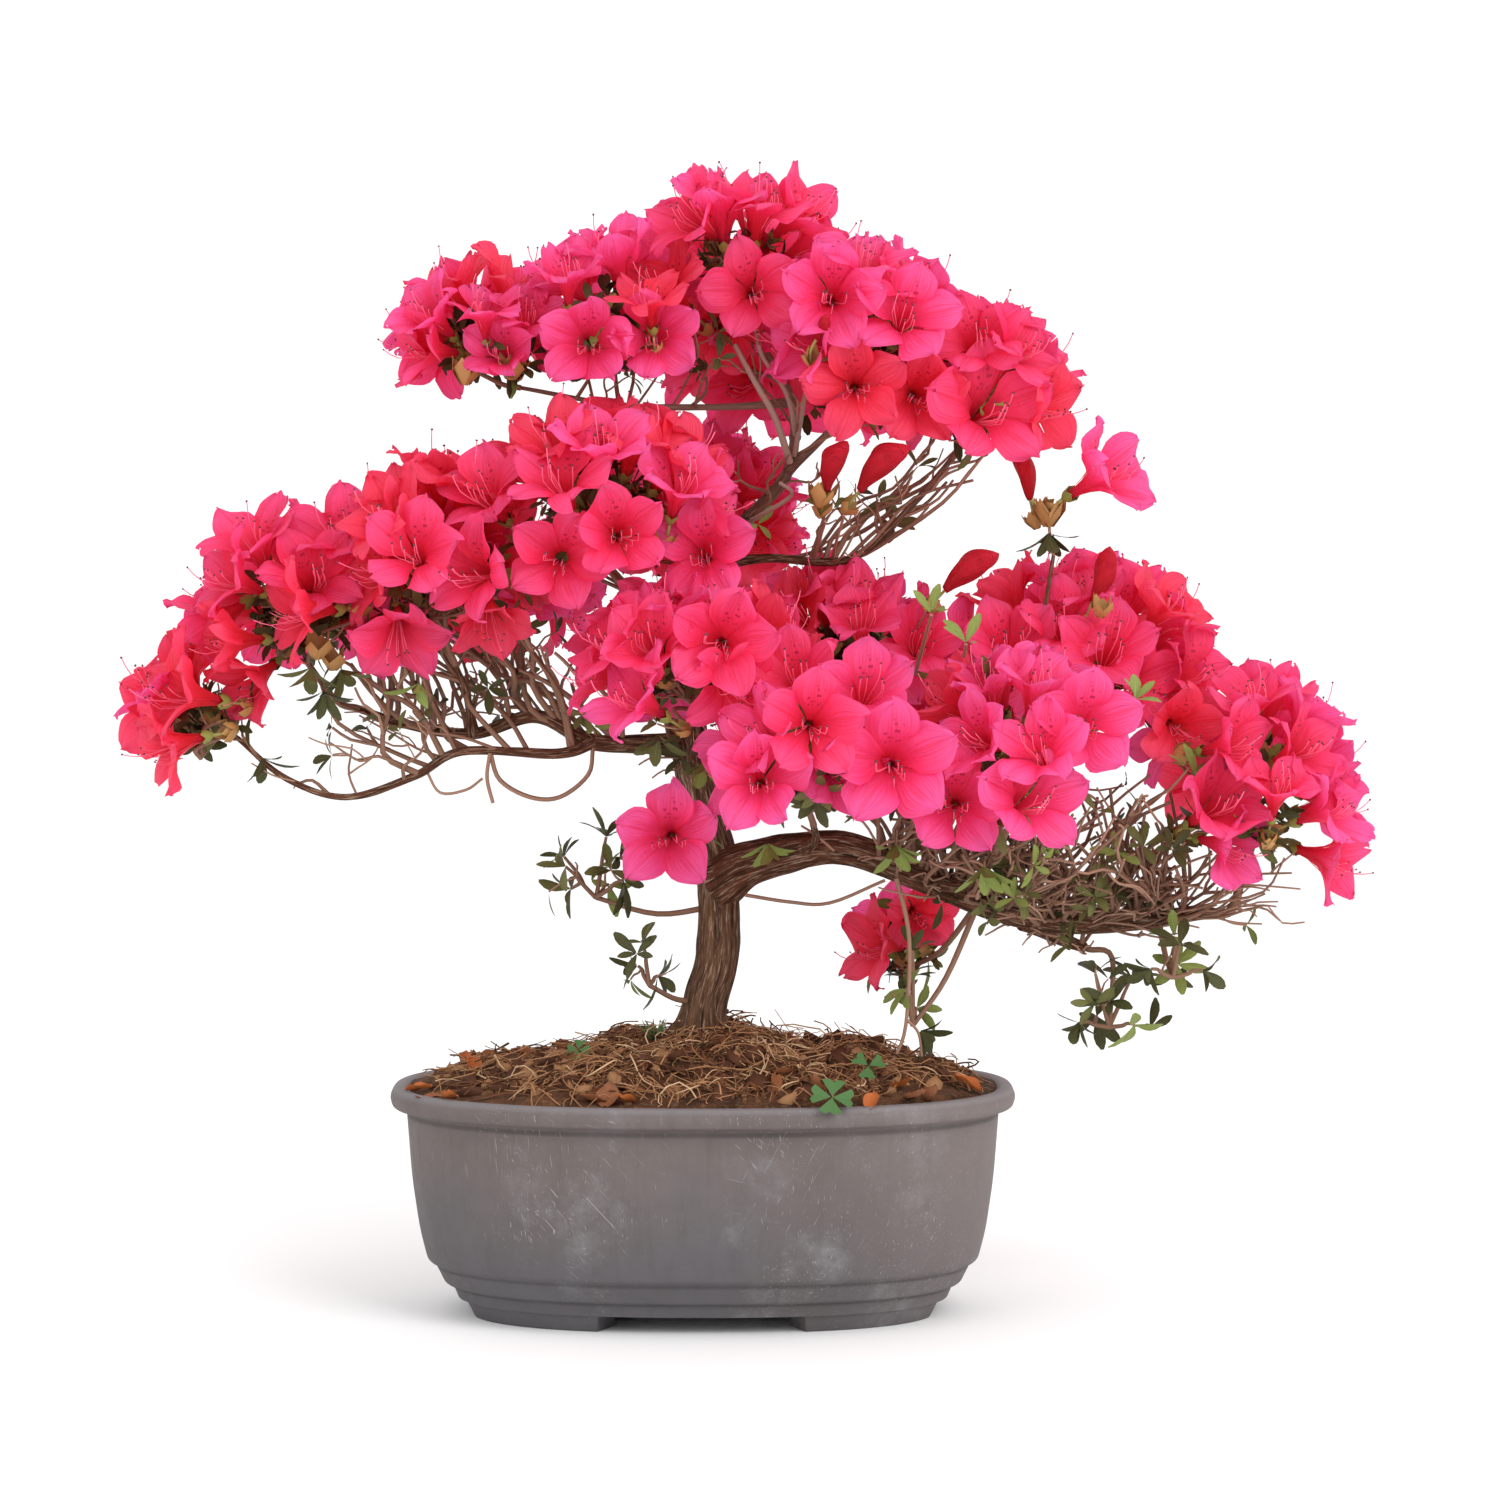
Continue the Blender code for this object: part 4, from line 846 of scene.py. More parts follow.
# the limbs repeat the plant's own paths
# name: (carrier, radius at the foot and the tip, how slim beside the solid at both, points)
limbTable = {
    "trunk": (None, 0.0098, 0.008, (1.0, 1.0), ((0.0, 0.0, 0.1189), (0.0012, 0.0, 0.134),
        (0.006, 0.001, 0.152), (0.0068, 0.002, 0.175), (0.0055, 0.003, 0.196), (-0.0008, 0.005, 0.221),
        (-0.0056, 0.007, 0.244), (-0.0085, 0.009, 0.264))),
    "leader": ("trunk", 0.0074, 0.002, (0.95, 0.42), ((-0.0094, 0.01, 0.274), (-0.0056, 0.013, 0.2985),
        (0.0052, 0.012, 0.3223), (0.0181, 0.01, 0.3404), (0.0367, 0.006, 0.3628), (0.0384, 0.004, 0.3921),
        (0.0235, 0.002, 0.4198), (0.0181, 0.0, 0.433))),
    "bough_right": ("trunk", 0.0086, 0.0034, (1.0, 1.0), ((0.0062, 0.002, 0.187), (0.0246, -0.006, 0.1949),
        (0.06, -0.012, 0.201), (0.0979, -0.01, 0.1862), (0.14, -0.003, 0.17), (0.178, 0.003, 0.1674),
        (0.216, 0.002, 0.1722))),
    "bough_right_low": ("bough_right", 0.0042, 0.002, (1.0, 1.0), ((0.133, -0.003, 0.169),
        (0.154, 0.006, 0.161), (0.166, 0.008, 0.156))),
    "bough_right_inner": ("bough_right", 0.0038, 0.0022, (0.7, 0.6), ((0.046, -0.011, 0.199),
        (0.048, -0.03, 0.205), (0.047, -0.048, 0.213))),
    "bough_right_front": ("bough_right", 0.0042, 0.0022, (0.7, 0.6), ((0.104, -0.009, 0.184),
        (0.115, -0.028, 0.186), (0.124, -0.046, 0.202))),
    "bough_right_top": ("bough_right", 0.0042, 0.0022, (0.75, 0.6), ((0.125, -0.006, 0.176),
        (0.145, 0.012, 0.2), (0.156, 0.022, 0.23))),
    "shoot_right": ("bough_right_top", 0.0019, 0.0013, (0.7, 0.65), ((0.15, 0.017, 0.215),
        (0.138, -0.016, 0.245), (0.144, -0.02, 0.29), (0.15, -0.014, 0.326))),
    "bough_right_rear": ("bough_right", 0.0044, 0.0022, (0.7, 0.6), ((0.08, -0.011, 0.194),
        (0.085, 0.03, 0.198), (0.088, 0.066, 0.212))),
    "bough_left": ("trunk", 0.0048, 0.0024, (0.95, 0.7), ((-0.0056, 0.006, 0.248), (-0.0224, 0.0, 0.245),
        (-0.0475, -0.004, 0.2462), (-0.072, -0.004, 0.2571), (-0.099, 0.0, 0.2494),
        (-0.1273, 0.002, 0.2532), (-0.148, 0.0, 0.26))),
    "bough_left_low": ("bough_left", 0.003, 0.0014, (0.75, 0.8), ((-0.05, -0.004, 0.2466),
        (-0.062, -0.013, 0.2415), (-0.1027, -0.016, 0.2424), (-0.123, -0.018, 0.232),
        (-0.1523, -0.019, 0.223), (-0.178, -0.018, 0.231), (-0.199, -0.014, 0.248))),
    "bough_left_mid": ("bough_left", 0.0032, 0.002, (0.6, 0.55), ((-0.094, -0.001, 0.251),
        (-0.101, -0.012, 0.266), (-0.106, -0.018, 0.281))),
    "bough_left_rear": ("bough_left", 0.0036, 0.0022, (0.6, 0.6), ((-0.064, -0.004, 0.255),
        (-0.08, 0.03, 0.26), (-0.088, 0.062, 0.272))),
    "bough_front": ("trunk", 0.0036, 0.0022, (0.7, 0.6), ((-0.002, 0.005, 0.227), (-0.005, -0.018, 0.242),
        (-0.004, -0.04, 0.256))),
    "bough_middle_left": ("leader", 0.004, 0.0024, (0.6, 0.6), ((-0.0085, 0.012, 0.282),
        (-0.022, -0.008, 0.298), (-0.033, -0.024, 0.312))),
    "bough_middle_rear": ("leader", 0.0038, 0.0022, (0.6, 0.6), ((-0.005, 0.013, 0.299),
        (-0.008, 0.045, 0.305), (-0.01, 0.072, 0.315))),
    "bough_upper_right": ("leader", 0.0036, 0.002, (0.6, 0.6), ((0.006, 0.012, 0.323),
        (0.028, 0.002, 0.325), (0.064, -0.004, 0.325), (0.09, -0.006, 0.348), (0.108, -0.006, 0.369))),
    "bough_upper_mid": ("leader", 0.003, 0.002, (0.6, 0.6), ((0.037, 0.006, 0.366), (0.052, -0.008, 0.377),
        (0.062, -0.012, 0.388))),
    "bough_upper_left": ("leader", 0.0034, 0.0018, (0.5, 0.5), ((0.037, 0.004, 0.396), (0.008, 0.0, 0.39),
        (-0.036, 0.0, 0.391), (-0.08, -0.002, 0.3985))),
    "bough_upper_rear": ("leader", 0.003, 0.002, (0.6, 0.6), ((0.038, 0.006, 0.38), (0.04, 0.03, 0.386),
        (0.04, 0.048, 0.392))),
}


def anyShift(rng):
    return Vector(rng.uniform(-1, 1) for _ in range(3))


def nearestOn(limb, point):
    return min(limb["path"], key=lambda spot: (spot - point).length)


def planLimbs():
    # the coarse path is the plant's own; the fine one runs through the same points
    limbs = {}
    for name, (carrier, first, last, slim, points) in limbTable.items():
        points = [Vector(point) for point in points]
        if name == "leader":
            trunkTop = limbs["trunk"]["path"][-1]
            path = smoothPath(points)
            path.insert(0, trunkTop + (path[0] - trunkTop).normalized() * 0.0003)
            fine = smoothPath([limbs["trunk"]["path"][-2], trunkTop] + points, 10)[10:]
        else:
            if carrier:
                points[0] = nearestOn(limbs[carrier], points[0])
            path = smoothPath(points)
            fine = smoothPath(points, 12)
        limbs[name] = {"name": name, "carrier": carrier, "path": path, "radii": taper(len(path), first, last),
            "fine": fine, "fineRadii": taper(len(fine), first, last), "slim": slim}
    return limbs


bark = {
    "ridgeAcross": 430.0, "ridgeAlong": 48.0, "fineAcross": 900, "fineAlong": 110, "knotScale": 60.0,
    "relief": 0.095, "deepest": 0.00095, "knots": 0.1, "flareHeight": 0.016, "flareWidth": 0.0046,
    "collar": 0.55, "collarReach": 2.6,
    "dark": (0.026, 0.012, 0.006), "brown": (0.155, 0.082, 0.047), "pale": (0.62, 0.44, 0.31),
    "red": (0.128, 0.05, 0.027),
    "twigTint": (0.235, 0.124, 0.078), "youngTint": (0.33, 0.184, 0.122), "greyTint": (0.36, 0.255, 0.205),
}


def ridgeAt(flat, across, along):
    return noise.noise(Vector((flat.x * bark[across], flat.y * bark[across], flat.z * bark[along])))


def barkSkin(limb, number):
    # a tube whose skin carries ridges along it and soft knots, and a collar where it leaves its carrier
    path, radii = limb["fine"], limb["fineRadii"]
    thickest = radii[0]
    sides = 44 if thickest > 0.007 else 20 if thickest > 0.0029 else 12
    slimFoot, slimTip = limb["slim"]
    rings, grain = [], []
    along = 0.0
    for index, point, side, other in sidesAlong(path):
        if index:
            along += (point - path[index - 1]).length
        radius = radii[index] * (slimFoot + (slimTip - slimFoot) * index / (len(path) - 1))
        if limb["carrier"] and limb["name"] != "leader":
            radius *= 1 + bark["collar"] * exp(-along / (bark["collarReach"] * thickest))
        ring = []
        for step in range(sides):
            turn = 2 * pi * step / sides
            flat = Vector((cos(turn) * radii[index], sin(turn) * radii[index], along + 0.37 * number))
            ridge = ridgeAt(flat, "ridgeAcross", "ridgeAlong")
            ridge += 0.5 * ridgeAt(flat, "fineAcross", "fineAlong")
            thick = radius * (1 + bark["knots"] * noise.noise(flat * bark["knotScale"]))
            thick += ridge * min(bark["deepest"], bark["relief"] * radius)
            if limb["name"] == "trunk":
                share = max(0.0, 1 - (point.z - path[0].z) / bark["flareHeight"])
                thick += bark["flareWidth"] * share * share * (1 + 0.5 * sin(3 * turn + 1.0))
            ring.append(point + (side * cos(turn) + other * sin(turn)) * thick)
            grain.append(flat)
        rings.append(ring)
    points, faces = skinOver(rings)
    return points, faces, grain


def barkFinish():
    material, tree, shader = newFinish("fibrousBark", 0.9, 0.12)
    grain = put(tree, "ShaderNodeAttribute", attribute_name="grain").outputs["Vector"]
    broad = mottled(tree, grain, scale=70.0, low=0.35, high=0.65)
    ridges = useGroup(tree, streaks, grain, Across=520.0, Along=55.0, Low=0.34, High=0.62).outputs
    fibres = useGroup(tree, streaks, grain, Across=1500.0, Along=120.0, Low=0.52, High=0.7).outputs
    # the boughs, which lie past the trunk along the grain, are redder
    past = put(tree, "ShaderNodeSeparateXYZ", {0: grain}).outputs["Z"]
    wood = mixColours(tree, spread(tree, past, 0.2, 0.37), bark["brown"], bark["red"])
    colour = mixColours(tree, ridges["Mask"], bark["dark"], wood)
    worn = times(tree, fibres["Mask"], spread(tree, broad, 0.0, 1.0, 0.4, 0.95))
    colour = mixColours(tree, worn, colour, bark["pale"])
    # the youngest wood, high in the crown, is pale and pinkish grey
    place = put(tree, "ShaderNodeTexCoord").outputs["Object"]
    height = put(tree, "ShaderNodeSeparateXYZ", {0: place}).outputs["Z"]
    colour = mixColours(tree, spread(tree, height, 0.33, 0.39, 0.0, 0.55), colour, bark["greyTint"])
    tree.links.new(colour, shader.inputs["Base Color"])
    addBump(tree, shader, calculate(tree, "ADD", ridges["Height"], fibres["Height"]), 0.0006)
    return material


def makeLimbs(limbs):
    points, faces, grain = [], [], []
    for number, limb in enumerate(limbs.values()):
        limbPoints, limbFaces, limbGrain = barkSkin(limb, number)
        start = len(points)
        points += limbPoints
        faces += [tuple(corner + start for corner in face) for face in limbFaces]
        grain += limbGrain
    mesh = meshOf("limbs", [point + potCentre for point in points], faces)
    layer = mesh.attributes.new("grain", "FLOAT_VECTOR", "POINT")
    layer.data.foreach_set("vector", np.array(grain, np.float32).ravel())
    made = newObject(mesh, "barkLimbs")
    mesh.materials.append(barkFinish())
    return made


limbs = planLimbs()
barkLimbs = makeLimbs(limbs)
print("limbs made")


# the flower: petals and closed buds
flower = {
    "petals": 5, "tubeRows": 4, "lobeRows": 9, "columns": 8, "tube": 0.0165, "lobe": 0.022, "foot": 0.0004,
    "halfWidth": 0.0099, "flare": (0.72, 1.32), "recurve": (-0.35, 0.65), "ruffle": (0.0012, 0.003),
    "cup": (-0.36, 0.36), "wave": (0.04, 0.1), "pleat": 0.0007, "midrib": 0.0013, "kinds": 16,
    # from petal to petal: lean, turn round the axis, width, sideways sway, twist, waves along the edge
    "flareShift": 0.22, "turnShift": 0.06, "widths": (0.92, 1.08), "sway": 0.0022, "twist": 0.36,
    "waves": (2.2, 3.8), "notch": 0.0015, "spots": (0.33, 0.004, 0.02), "footTint": (0.52, 0.25, 0.09),
    # the lean along a petal: at the foot, what the tube adds, and where the lobe starts
    "tubeLean": (0.12, 0.36, 0.48), "lineSteps": 60, "glow": 0.47,
    "budLength": 0.026, "budWidths": (0.0045, 0.003, 0.0046, 0.0043), "budSwell": (1.45, 1.1, 1.6, 1.55),
}


# the rule that the plant itself is grown by
rule = {
    "flowerLength": 0.0225, "leafLength": 0.0205, "tries": 20, "limbRoom": 0.006, "areaPerFlower": 0.0006,
    "areaPerSprig": 0.0015, "leaders": 4, "forkStep": 0.22, "jointReach": 0.52, "hubDrop": 0.5,
    "butt": 0.0016,
}
# name: (carrier, centre, half axes, lowest share in growth, main tint of its blossom)
padTable = {
    "pad_apex": ("leader", (0.017, 0.0, 0.453), (0.044, 0.046, 0.034), -0.3, "rose"),
    "pad_upper_left": ("bough_upper_left", (-0.096, -0.002, 0.422), (0.039, 0.04, 0.035), -0.45, "rose"),
    "pad_upper_centre": ("bough_upper_left", (-0.038, -0.01, 0.429), (0.037, 0.045, 0.035), -0.2, "pink"),
    "pad_upper_right": ("bough_upper_mid", (0.068, -0.02, 0.419), (0.043, 0.048, 0.043), -0.3, "pink"),
    "pad_upper_far_right": ("bough_upper_right", (0.119, -0.006, 0.396), (0.037, 0.043, 0.037), -0.5, "rose"),
    "pad_upper_rear": ("bough_upper_rear", (0.035, 0.072, 0.408), (0.056, 0.042, 0.037), -0.4, "rose"),
    "pad_far_left": ("bough_left_low", (-0.215, -0.014, 0.259), (0.03, 0.033, 0.039), -0.9, "coral"),
    "pad_left": ("bough_left", (-0.17, -0.004, 0.303), (0.048, 0.056, 0.046), -0.4, "rose"),
    "pad_left_centre": ("bough_left_mid", (-0.109, -0.032, 0.324), (0.04, 0.056, 0.047), -0.35, "coral"),
    "pad_middle": ("bough_middle_left", (-0.042, -0.04, 0.346), (0.056, 0.058, 0.046), -0.4, "coral"),
    "pad_middle_rear": ("bough_middle_rear", (-0.012, 0.102, 0.344), (0.058, 0.052, 0.04), -0.45, "rose"),
    "pad_left_rear": ("bough_left_rear", (-0.098, 0.084, 0.305), (0.054, 0.052, 0.041), -0.45, "pink"),
    "pad_front": ("bough_front", (-0.002, -0.068, 0.28), (0.056, 0.048, 0.036), -0.55, "rose"),
    "pad_right_inner": ("bough_right_inner", (0.05, -0.092, 0.242), (0.048, 0.052, 0.04), -0.55, "pink"),
    "pad_right_front": ("bough_right_front", (0.129, -0.078, 0.246), (0.048, 0.056, 0.043), -0.5, "pink"),
    "pad_right_top": ("bough_right_top", (0.162, 0.016, 0.279), (0.06, 0.052, 0.047), -0.35, "rose"),
    "pad_right_core": ("trunk", (0.062, 0.01, 0.29), (0.045, 0.048, 0.033), -0.4, "rose"),
    "pad_right_rear": ("bough_right_rear", (0.086, 0.104, 0.248), (0.062, 0.052, 0.043), -0.5, "coral"),
    "pad_far_right": ("bough_right", (0.235, -0.002, 0.23), (0.049, 0.056, 0.05), -0.5, "pink"),
    "spray_lone_flower": ("shoot_right", (0.16, -0.012, 0.348), (0.032, 0.03, 0.028), -0.6, "pink"),
    "spray_low_front": ("trunk", (-0.018, -0.048, 0.212), (0.027, 0.03, 0.026), -0.8, "rose"),
    "spray_under_bough": ("bough_right", (0.088, 0.036, 0.156), (0.038, 0.028, 0.024), -0.9, "coral"),
    "sprig_trunk_left": ("trunk", (-0.046, -0.006, 0.192), (0.028, 0.026, 0.026), -0.9, None),
    "sprig_trunk_low": ("trunk", (-0.023, -0.014, 0.153), (0.017, 0.02, 0.022), -0.9, None),
    "sprig_bough_low": ("bough_right_low", (0.176, 0.004, 0.134), (0.033, 0.028, 0.024), -0.9, None),
    "sprig_bough_end": ("bough_right", (0.201, -0.022, 0.156), (0.03, 0.024, 0.02), -0.9, None),
    "sprig_hanging": ("bough_right", (0.09, -0.02, 0.14), (0.014, 0.015, 0.03), -0.9, None),
}
sideCarried = {"pad_upper_centre", "pad_right_core", "spray_low_front", "spray_under_bough",
    "sprig_trunk_left", "sprig_trunk_low", "sprig_bough_end", "sprig_hanging"}


def planPads():
    pads = []
    for index, (name, (carrier, centre, half, lowest, tint)) in enumerate(padTable.items()):
        pads.append({"name": name, "carrier": carrier, "centre": Vector(centre), "half": Vector(half),
            "lowest": lowest, "blossom": tint is not None, "tint": tint, "seed": 100 + index})
    return pads


def padShare(point, pad):
    offset = point - pad["centre"]
    return Vector(offset[axis] / pad["half"][axis] for axis in range(3)).length


def limbRoom(point):
    return min((spot - point).length - radius
        for limb in limbs.values() for spot, radius in zip(limb["path"], limb["radii"]))


def tipCount(pad):
    a, b, c = pad["half"]
    power = 1.6
    area = 4 * pi * (((a * b) ** power + (a * c) ** power + (b * c) ** power) / 3) ** (1 / power)
    share = area * (1 - pad["lowest"]) / 2
    return max(3, round(share / (rule["areaPerFlower"] if pad["blossom"] else rule["areaPerSprig"])))


def findTips(pad, pads, count):
    # the same draws as the plant's: each tip as far from the earlier ones as its tries allow
    rng = random.Random(pad["seed"])
    depth = rule["flowerLength"] if pad["blossom"] else rule["leafLength"] * 0.6
    tips = []
    for _ in range(count):
        best, bestRoom = None, -1.0
        for _ in range(rule["tries"]):
            rise = rng.uniform(pad["lowest"], 1.0)
            turn = rng.uniform(0, 2 * pi)
            flat = sqrt(1 - rise * rise)
            way = Vector((flat * cos(turn), flat * sin(turn), rise))
            reach = way * pad["half"]
            skin = pad["centre"] + reach
            spot = pad["centre"] + reach * max(0.2, 1 - depth / reach.length)
            middle = (skin + spot) / 2
            if any(other is not pad and padShare(middle, other) < 1 for other in pads):
                continue
            if limbRoom(middle) < rule["limbRoom"]:
                continue
            room = min(((skin - tip["skin"]).length for tip in tips), default=1.0)
            if room > bestRoom:
                best, bestRoom = {"skin": skin, "spot": spot, "way": way}, room
        if best:
            tips.append(best)
    for tip in tips:
        out = Vector(tip["way"][axis] / pad["half"][axis] for axis in range(3)).normalized()
        tilt = anyShift(rng)
        tip["ahead"] = (out + Vector((0, 0, 0.25)) + tilt * 0.25).normalized()
    return tips


def bendTo(start, end, ahead):
    # three points from start to end that arrive running ahead
    middle = (start + end) / 2 - ahead * (end - start).length * 0.16
    return [start, middle, end]


def stemOf(pad):
    limb = limbs[pad["carrier"]]
    hub = pad["centre"] - Vector((0, 0, pad["half"].z * rule["hubDrop"]))
    if pad["name"] in sideCarried:
        foot = nearestOn(limb, hub)
        radius = min(0.0018, limb["radii"][limb["path"].index(foot)] * 0.6)
        middle = (foot + hub) / 2 + Vector((0, 0, -0.1)) * (hub - foot).length
        return [foot, middle, hub], radius
    tip = limb["path"][-1]
    ahead = (tip - limb["path"][-2]).normalized()
    reach = (hub - tip).length
    return [tip - ahead * 0.002, tip + ahead * rule["butt"],
        tip + ahead * max(2 * rule["butt"], reach * 0.35), hub], limb["radii"][-1] * 0.95


openTints = ("pink", "rose", "coral")
leafKinds = ("leafDark", "leafOlive", "leafYoung")
sites = {kind: [] for kind in (*openTints, "bud", "scale", *leafKinds)}
runs = {kind: [] for kind in ("twig", "young", "grey", "stalk")}
finer = {
    "flowerReach": 0.024, "flowerBack": 0.009, "flowerSize": (0.88, 1.05), "stalk": 0.011, "apart": 0.02,
    "otherMass": 0.72, "ownTint": 0.62, "lowestFlower": -0.32, "bareGone": 0.7, "budShare": 0.1,
    "budSize": (0.5, 0.9), "scaleSize": (0.8, 1.4), "baseLeaves": (2, 4), "rosette": (3, 5),
    "endLeaves": (4, 6), "openShare": 0.6, "youngShare": 0.25,
    "leafSize": (0.6, 1.0), "leafReach": 1.1, "leafAhead": 0.016,
    "twigRadii": (0.0011, 0.0007), "sideRadii": (0.0006, 0.0004), "stalkRadii": (0.00075, 0.00065),
    "sideTwigs": (0, 2), "sideLength": (0.007, 0.017), "sideWave": 0.08, "sideBare": 0.4, "sideLeaf": 0.85,
    "deeper": 110, "deeperShare": (0.45, 0.92), "deeperSize": (0.85, 1.0), "deeperTilt": 0.45,
}
# how far the leaves of a rosette lean away from its axis, in radians
leanOf = {"atFlower": (0.9, 1.45), "atEnd": (0.5, 1.4), "atSide": (0.6, 1.4), "alone": (0.35, 1.15)}
# an open flower as other flowers have to keep off it: the hollow over its face, and its petals, which
# are tested at some depths below the face as a cone with a slope, a drop at its middle and a thickness
openCone = {
    "back": -0.028, "front": 0.014, "hollow": 0.0165, "depths": (0.001, 0.006, 0.011, 0.016), "reach": 0.0205,
    "slope": 0.65, "drop": 0.0105, "thick": 0.0035,
}
# where a mass stays without flowers: a way out from its centre, and how far round it that holds
bareSides = {
    "pad_far_left": ((0.45, -0.9, 0.0), -0.15), "pad_right_front": ((0.7, 0.0, -0.7), 0.4),
    "pad_far_right": ((-0.5, 0.0, -0.85), 0.35), "spray_lone_flower": ((0.0, 0.0, 1.0), -1.0),
    "spray_low_front": ((0.0, -0.3, 0.0), -1.0), "spray_under_bough": ((0.0, -1.0, 0.0), -0.85),
}
lowerFlowers = {"pad_upper_rear": -0.75, "pad_middle_rear": -0.6, "pad_right_core": -0.6}
# the open sky beside the upper stems: left, right, bottom and top
openSky = ((0.026, 0.1, 0.31, 0.362), (-0.11, -0.04, 0.368, 0.396))
upright = Vector((0, 0, 1))
frontward = Vector((0, -1, 0))
drawnApart = {"spray_lone_flower"}   # its stems are among the loose twigs
